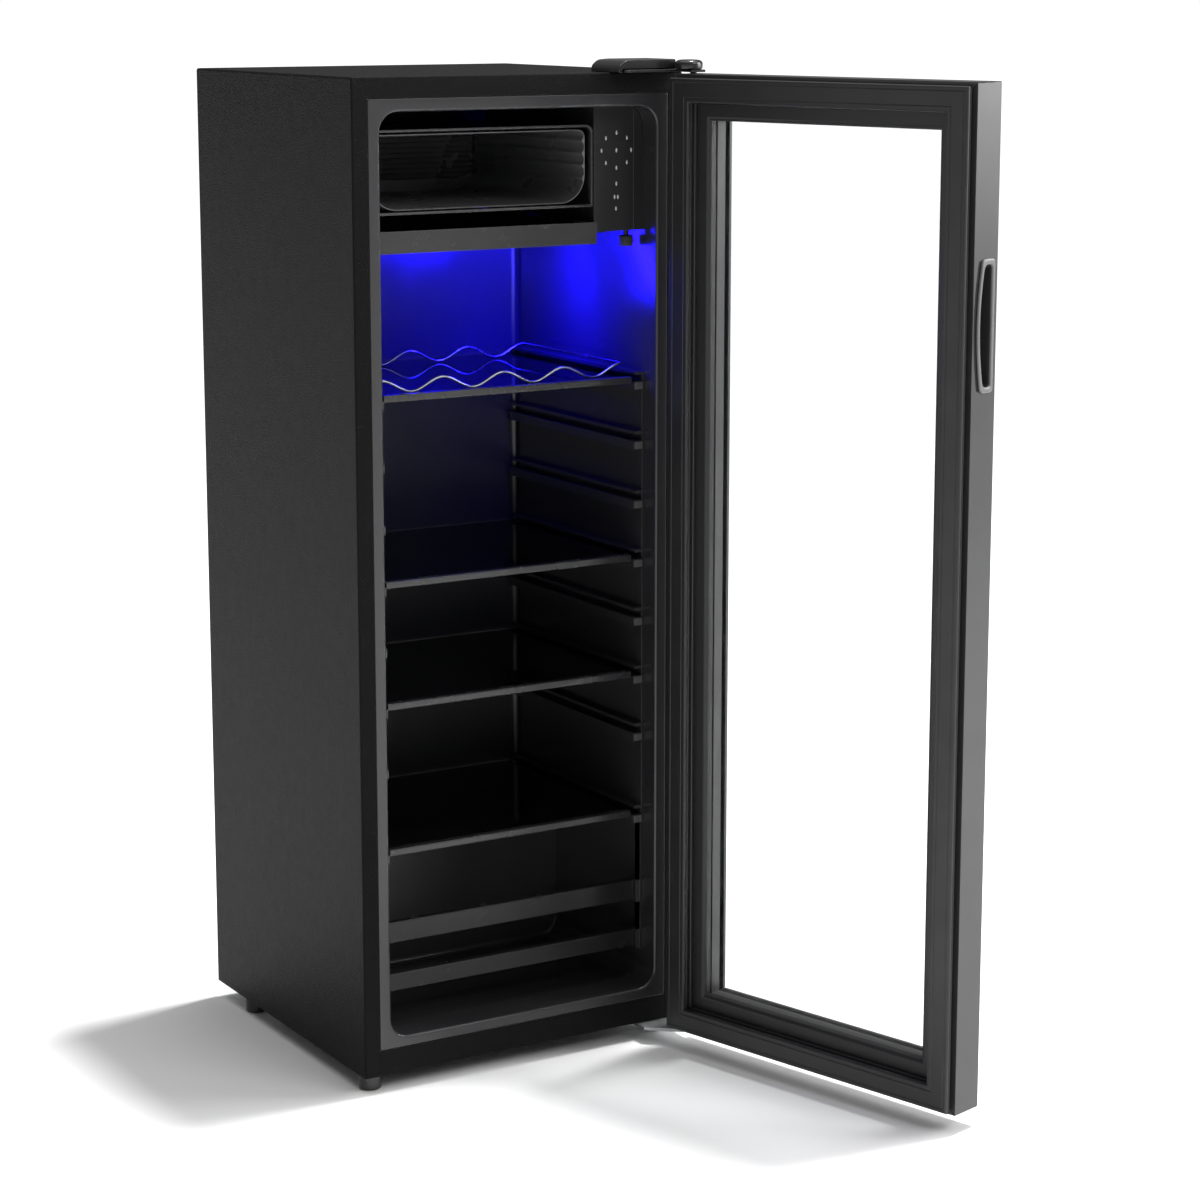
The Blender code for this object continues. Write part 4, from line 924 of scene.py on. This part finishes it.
# the cover is a section carried from front to back, and the pin cap is a turned dome
def makeHinges():
    easedCopy("topHingePlate", "top_hinge_plate", finishes["blackEnamel"], 0.4)
    easedCopy("bottomHingePlate", "bottom_hinge_plate", finishes["bareSteel"], 0.4)
    low = hinge["roof"]
    base = low + hinge["lift"]
    outline = eased(
        [(344.0, low), (344.0, low + 7.0), (352.0, low + 14.0), (366.0, low + 15.0), (424.0, low + 15.0),
         (424.0, base), (350.0, base), (349.5, low)],
        [0.6, 4.0, 6.0, 4.0, 2.0, 0.5, 0.8, 0.5], 6)
    makePiece("hingeCover", [bar(outline, "y", hinge["front"], hinge["rear"], 1.2)], finishes["capGloss"],
              ["hinge_cover"], crease=50.0)
    dome = [(0.02, base + 0.1), (14.6, base), (16.0, base + 0.7), (16.5, base + 2.0), (16.5, base + 6.4),
            (16.1, base + 8.2), (14.9, base + 9.8), (12.6, base + 10.9), (9.0, base + 11.4), (4.0, base + 11.6),
            (0.02, base + 11.6)]
    makePiece("pinCap", [turned(dome, (*hinge["capCentre"], 0.0), "z", 64)], finishes["capGloss"], ["hinge_pin_cap"])
    for node, name in (("hinge_screw_left", "leftScrew"), ("hinge_screw_right", "rightScrew")):
        easedCopy(name, node, finishes["bareSteel"], 0.3)


foot = {"seatUnderPlate": -4.9, "seatAtRear": 1.7, "rings": 17, "groove": 0.45}


# a rubber boot and a threaded stud in one turned profile, the stud's radius stepping in at every other ring
def makeFeet():
    for node, name in (("foot_front_left", "frontLeftFoot"), ("foot_front_right", "frontRightFoot"),
                       ("foot_rear_left", "rearLeftFoot"), ("foot_rear_right", "rearRightFoot")):
        low, high = boxOf(node)
        x, y = 0.5 * (low[0] + high[0]), 0.5 * (low[1] + high[1])
        seat = {"foot_front_left": 0.0, "foot_front_right": foot["seatUnderPlate"]}.get(node, foot["seatAtRear"])
        boot = [(0.02, -22.0), (10.6, -22.0), (12.2, -21.7), (13.2, -21.0), (13.7, -19.9), (13.8, -18.6),
                (13.8, seat - 1.2), (13.4, seat - 0.5), (12.6, seat - 0.1), (4.0, seat)]
        turns = np.linspace(seat + 0.4, 11.2, foot["rings"])
        thread = [(4.0 - foot["groove"] * (k % 2), z) for k, z in enumerate(turns)]
        stud = thread + [(3.2, 12.0), (0.02, 12.0)]
        makePiece(name, [turned(boot + stud, (x, y, 0.0), "z", 72)], finishes["capGloss"], [node])


makeHinges()
makeFeet()
print("hinges and feet made")


machine = {"panel": 394.0, "can": (300.0, 362.0), "rail": 3.5}


# the can is a profile turned about its upright axis, on a flat foot plate
def makeCompressor():
    x, y = machine["can"]
    low = machine["rail"] + 8.0
    profile = np.array([
        (0.02, 3.0), (20.0, 3.0), (36.0, 4.2), (44.0, 6.0), (51.0, 11.0), (56.0, 18.0), (58.2, 26.0), (59.0, 34.0),
        (59.0, 57.6), (60.6, 58.0), (61.5, 59.0), (61.5, 62.4), (60.6, 63.6), (59.0, 64.0), (58.8, 74.0), (57.5, 88.0),
        (54.6, 98.0), (50.0, 106.0), (43.0, 112.4), (34.0, 117.0), (24.0, 119.8), (12.0, 121.0), (0.02, 121.2)])
    profile[:, 1] += low
    plate = slab((x - 88.0, y - 34.0, low), (x + 88.0, y + 34.0, low + 4.0), 9.0, 0.8)
    makePiece("compressorCan", [turned(profile, (x, y, 0.0), "z", 72), plate], finishes["blackEnamel"], ["compressor"])
    low, high = boxOf("relay_cover")
    makePiece("relayCover", [slab(low, high, 6.0, 2.0)], finishes["blackPlastic"], ["relay_cover"])


condenser = {"left": 44.0, "right": 398.0, "bottom": 250.0, "pitch": 78.0, "passes": 11, "riser": 418.0,
             "standOff": 22.0, "wires": 40, "wire": 0.9, "wirePlane": 17.4, "bars": [236.0, 639.0, 1042.0],
             "posts": [82.0, 360.0]}


# the serpentine: passes joined by square bends with rounded corners, with upright wires and three bars behind it
def makeCondenser():
    left, right, pitch, passes, riser = (condenser[key] for key in ("left", "right", "pitch", "passes", "riser"))
    y, top = machine["panel"] + condenser["standOff"], condenser["bottom"] + pitch * (passes - 1)
    rows = top - pitch * np.arange(passes)
    ends = np.where(np.arange(passes) % 2 == 0, left, right)
    starts = np.where(np.arange(passes) % 2 == 0, right, left)
    middle = np.stack([np.stack([starts, rows], -1), np.stack([ends, rows], -1)], 1).reshape(-1, 2)[1:]
    corners = np.vstack([[(machine["can"][0] + 62.5, 86.0), (riser, 86.0), (riser, top)], middle,
                         [(left, 116.0), (left + 20.0, 116.0)]])
    path = softPath(np.stack([corners[:, 0], np.full(len(corners), y), corners[:, 1]], -1), 10.0)
    makePiece("condenserTube", [tube(path, 2.4, (0.0, 1.0, 0.0), 12)], finishes["blackEnamel"],
              ["condenser_tube"], crease=80.0)
    low, high = boxOf("condenser_wires")
    x = np.linspace(low[0] + 1.0, high[0] - 1.0, condenser["wires"])
    plane, levels = machine["panel"] + condenser["wirePlane"], np.array(condenser["bars"])
    starts = np.stack([x, np.full_like(x, plane), np.full_like(x, low[2] + 1.0)], -1)
    ends = starts + [0.0, 0.0, high[2] - low[2] - 2.0]
    barStarts = np.stack([np.full(3, low[0] + 0.2), np.full(3, plane - 0.1), levels], -1)
    barEnds = barStarts + [high[0] - low[0] - 0.4, 0.0, 0.0]
    parts = [rods(starts, ends, condenser["wire"]), rods(barStarts, barEnds, 0.95, 10)]
    for post in condenser["posts"]:
        for z in (levels[0], levels[-1]):
            low, high = (post - 4.0, machine["panel"] + 1.3, z - 4.0), (post + 4.0, plane, z + 4.0)
            parts.append(slab(low, high, 1.5, 0.5, "y"))
    makePiece("condenserWires", parts, finishes["blackEnamel"], ["condenser_wires"])
    low, high = boxOf("filter_drier")
    y, z = 0.5 * (low[1] + high[1]), 0.5 * (low[2] + high[2])
    a, b = low[0], high[0]
    can = [(0.02, a), (2.4, a), (2.6, a + 3.0), (4.0, a + 6.0), (7.4, a + 9.4), (9.0, a + 13.0), (9.0, a + 60.0),
           (8.4, a + 61.0), (9.0, a + 62.0), (9.0, a + 75.0), (7.4, a + 79.0), (4.2, a + 84.0), (2.4, a + 88.0),
           (2.0, b), (0.02, b)]
    makePiece("filterDrier", [turned(can, (0.0, y, z), "x", 40)], finishes["copperTube"], ["filter_drier"])
    easedCopy("cordGland", "cord_gland", finishes["sealRubber"], 0.3)


makeCompressor()
makeCondenser()
for side in ("front_left", "front_right", "rear_left", "rear_right"):
    easedCopy("bush_" + side, "grommet_" + side, finishes["sealRubber"], 0.4)
print("machinery made")


studio = {
    "eye": (-1.8227, -3.0642, 1.317), "yaw": 31.19, "pitch": 10.50, "lens": 90.24, "shift": -0.05,
    "key": {"energy": 3.8, "angle": 6.0, "towards": (-0.22, -0.01, -1.0)},
    "side": {"energy": 140.0, "size": (2.0, 2.4), "at": (3.4, -1.7, 2.2), "towards": (0.2, -0.3, 1.2)},
    "front": {"energy": 75.0, "size": (3.0, 1.6), "at": (1.4, -4.2, 3.8), "towards": (0.0, 0.0, 0.8)},
    "roof": {"energy": 95.0, "size": (5.0, 5.0), "at": (0.0, 0.0, 4.2), "towards": (0.0, 0.0, 0.0)},
    "lamps": {"wallGlow": {"energy": 4.0, "size": (0.05, 0.12), "at": (318.0, 165.0, 955.0),
                           "towards": (1.0, 0.1, -0.45), "spread": 160.0},
              "backGlow": {"energy": 4.5, "size": (0.04, 0.05), "at": (372.0, 140.0, 978.0),
                           "towards": (-0.35, 0.8, -0.6), "spread": 150.0}},
    "lampColour": (0.007, 0.003, 1.0), "ambient": 0.2, "floorSpan": 60.0, "floorTones": (0.90, 0.91),
}


# put a lamp in its place, looking at a point
def aim(thing, at, towards):
    thing.location = at
    thing.rotation_mode = "QUATERNION"
    thing.rotation_quaternion = (Vector(towards) - Vector(at)).to_track_quat("-Z", "Y")


# one rectangular softbox from its row in the studio settings
def softbox(name):
    given = studio[name]
    data = bpy.data.lights.new(name + "Softbox", "AREA")
    data.shape = "RECTANGLE"
    data.size, data.size_y = given["size"]
    data.energy = given["energy"]
    thing = bpy.data.objects.new(data.name, data)
    bpy.context.scene.collection.objects.link(thing)
    aim(thing, given["at"], given["towards"])


# the room: white to the camera and dim to everything else, one sun, three softboxes, two blue lamps, floor and camera
def makeStudio():
    scene = bpy.context.scene
    scene.view_settings.view_transform = "Standard"
    world = bpy.data.worlds.new("paleRoom")
    scene.world = world
    world.use_nodes = True
    nodes, links = world.node_tree.nodes, world.node_tree.links
    dim, bright = nodes["Background"], nodes.new("ShaderNodeBackground")
    dim.inputs["Color"].default_value = (1.0, 1.0, 1.0, 1.0)
    dim.inputs["Strength"].default_value = studio["ambient"]
    bright.inputs["Color"].default_value = (1.0, 1.0, 1.0, 1.0)
    bright.inputs["Strength"].default_value = 1.0
    path = nodes.new("ShaderNodeLightPath")
    mix = nodes.new("ShaderNodeMixShader")
    links.new(path.outputs["Is Camera Ray"], mix.inputs["Fac"])
    links.new(dim.outputs["Background"], mix.inputs[1])
    links.new(bright.outputs["Background"], mix.inputs[2])
    links.new(mix.outputs["Shader"], nodes["World Output"].inputs["Surface"])

    key = bpy.data.lights.new("keySun", "SUN")
    key.energy = studio["key"]["energy"]
    key.angle = math.radians(studio["key"]["angle"])
    sun = bpy.data.objects.new("keySun", key)
    scene.collection.objects.link(sun)
    sun.rotation_mode = "QUATERNION"
    sun.rotation_quaternion = Vector(studio["key"]["towards"]).to_track_quat("-Z", "Y")
    for name in ("side", "front", "roof"):
        softbox(name)

    for name, given in studio["lamps"].items():
        lamp = bpy.data.lights.new(name, "AREA")
        lamp.shape = "RECTANGLE"
        lamp.size, lamp.size_y = given["size"]
        lamp.energy = given["energy"]
        lamp.spread = math.radians(given["spread"])
        lamp.color = studio["lampColour"]
        glow = bpy.data.objects.new(name, lamp)
        scene.collection.objects.link(glow)
        glow.location = atCabinet([given["at"]])[0]
        glow.rotation_mode = "QUATERNION"
        glow.rotation_quaternion = Vector(given["towards"]).to_track_quat("-Z", "Y")

    mesh = bpy.data.meshes.new("paleFloor")
    span = studio["floorSpan"]
    corners = [(-span, -span, 0.0), (span, -span, 0.0), (span, span, 0.0), (-span, span, 0.0)]
    mesh.from_pydata(corners, [], [(0, 1, 2, 3)])
    floor = bpy.data.objects.new("paleFloor", mesh)
    scene.collection.objects.link(floor)
    paint, nodes, links, shader, where = newFinish("floorPaint")
    tone = between(nodes, links, cloud(nodes, links, where, 1.5), 0.0, 1.0)
    dark, light = ((grey,) * 3 for grey in studio["floorTones"])
    links.new(blended(nodes, links, tone, dark, light), shader.inputs["Base Color"])
    shader.inputs["Roughness"].default_value = 0.6
    shader.inputs["Specular IOR Level"].default_value = 0.2
    mesh.materials.append(paint)

    camera = bpy.data.cameras.new("viewCamera")
    camera.sensor_width = 36.0
    camera.lens = studio["lens"]
    camera.shift_y = studio["shift"]
    camera.clip_end = 200.0
    eye = bpy.data.objects.new("viewCamera", camera)
    scene.collection.objects.link(eye)
    eye.location = studio["eye"]
    eye.rotation_euler = (math.radians(90.0 - studio["pitch"]), 0.0, math.radians(-studio["yaw"]))
    scene.camera = eye


makeStudio()
print("studio made")
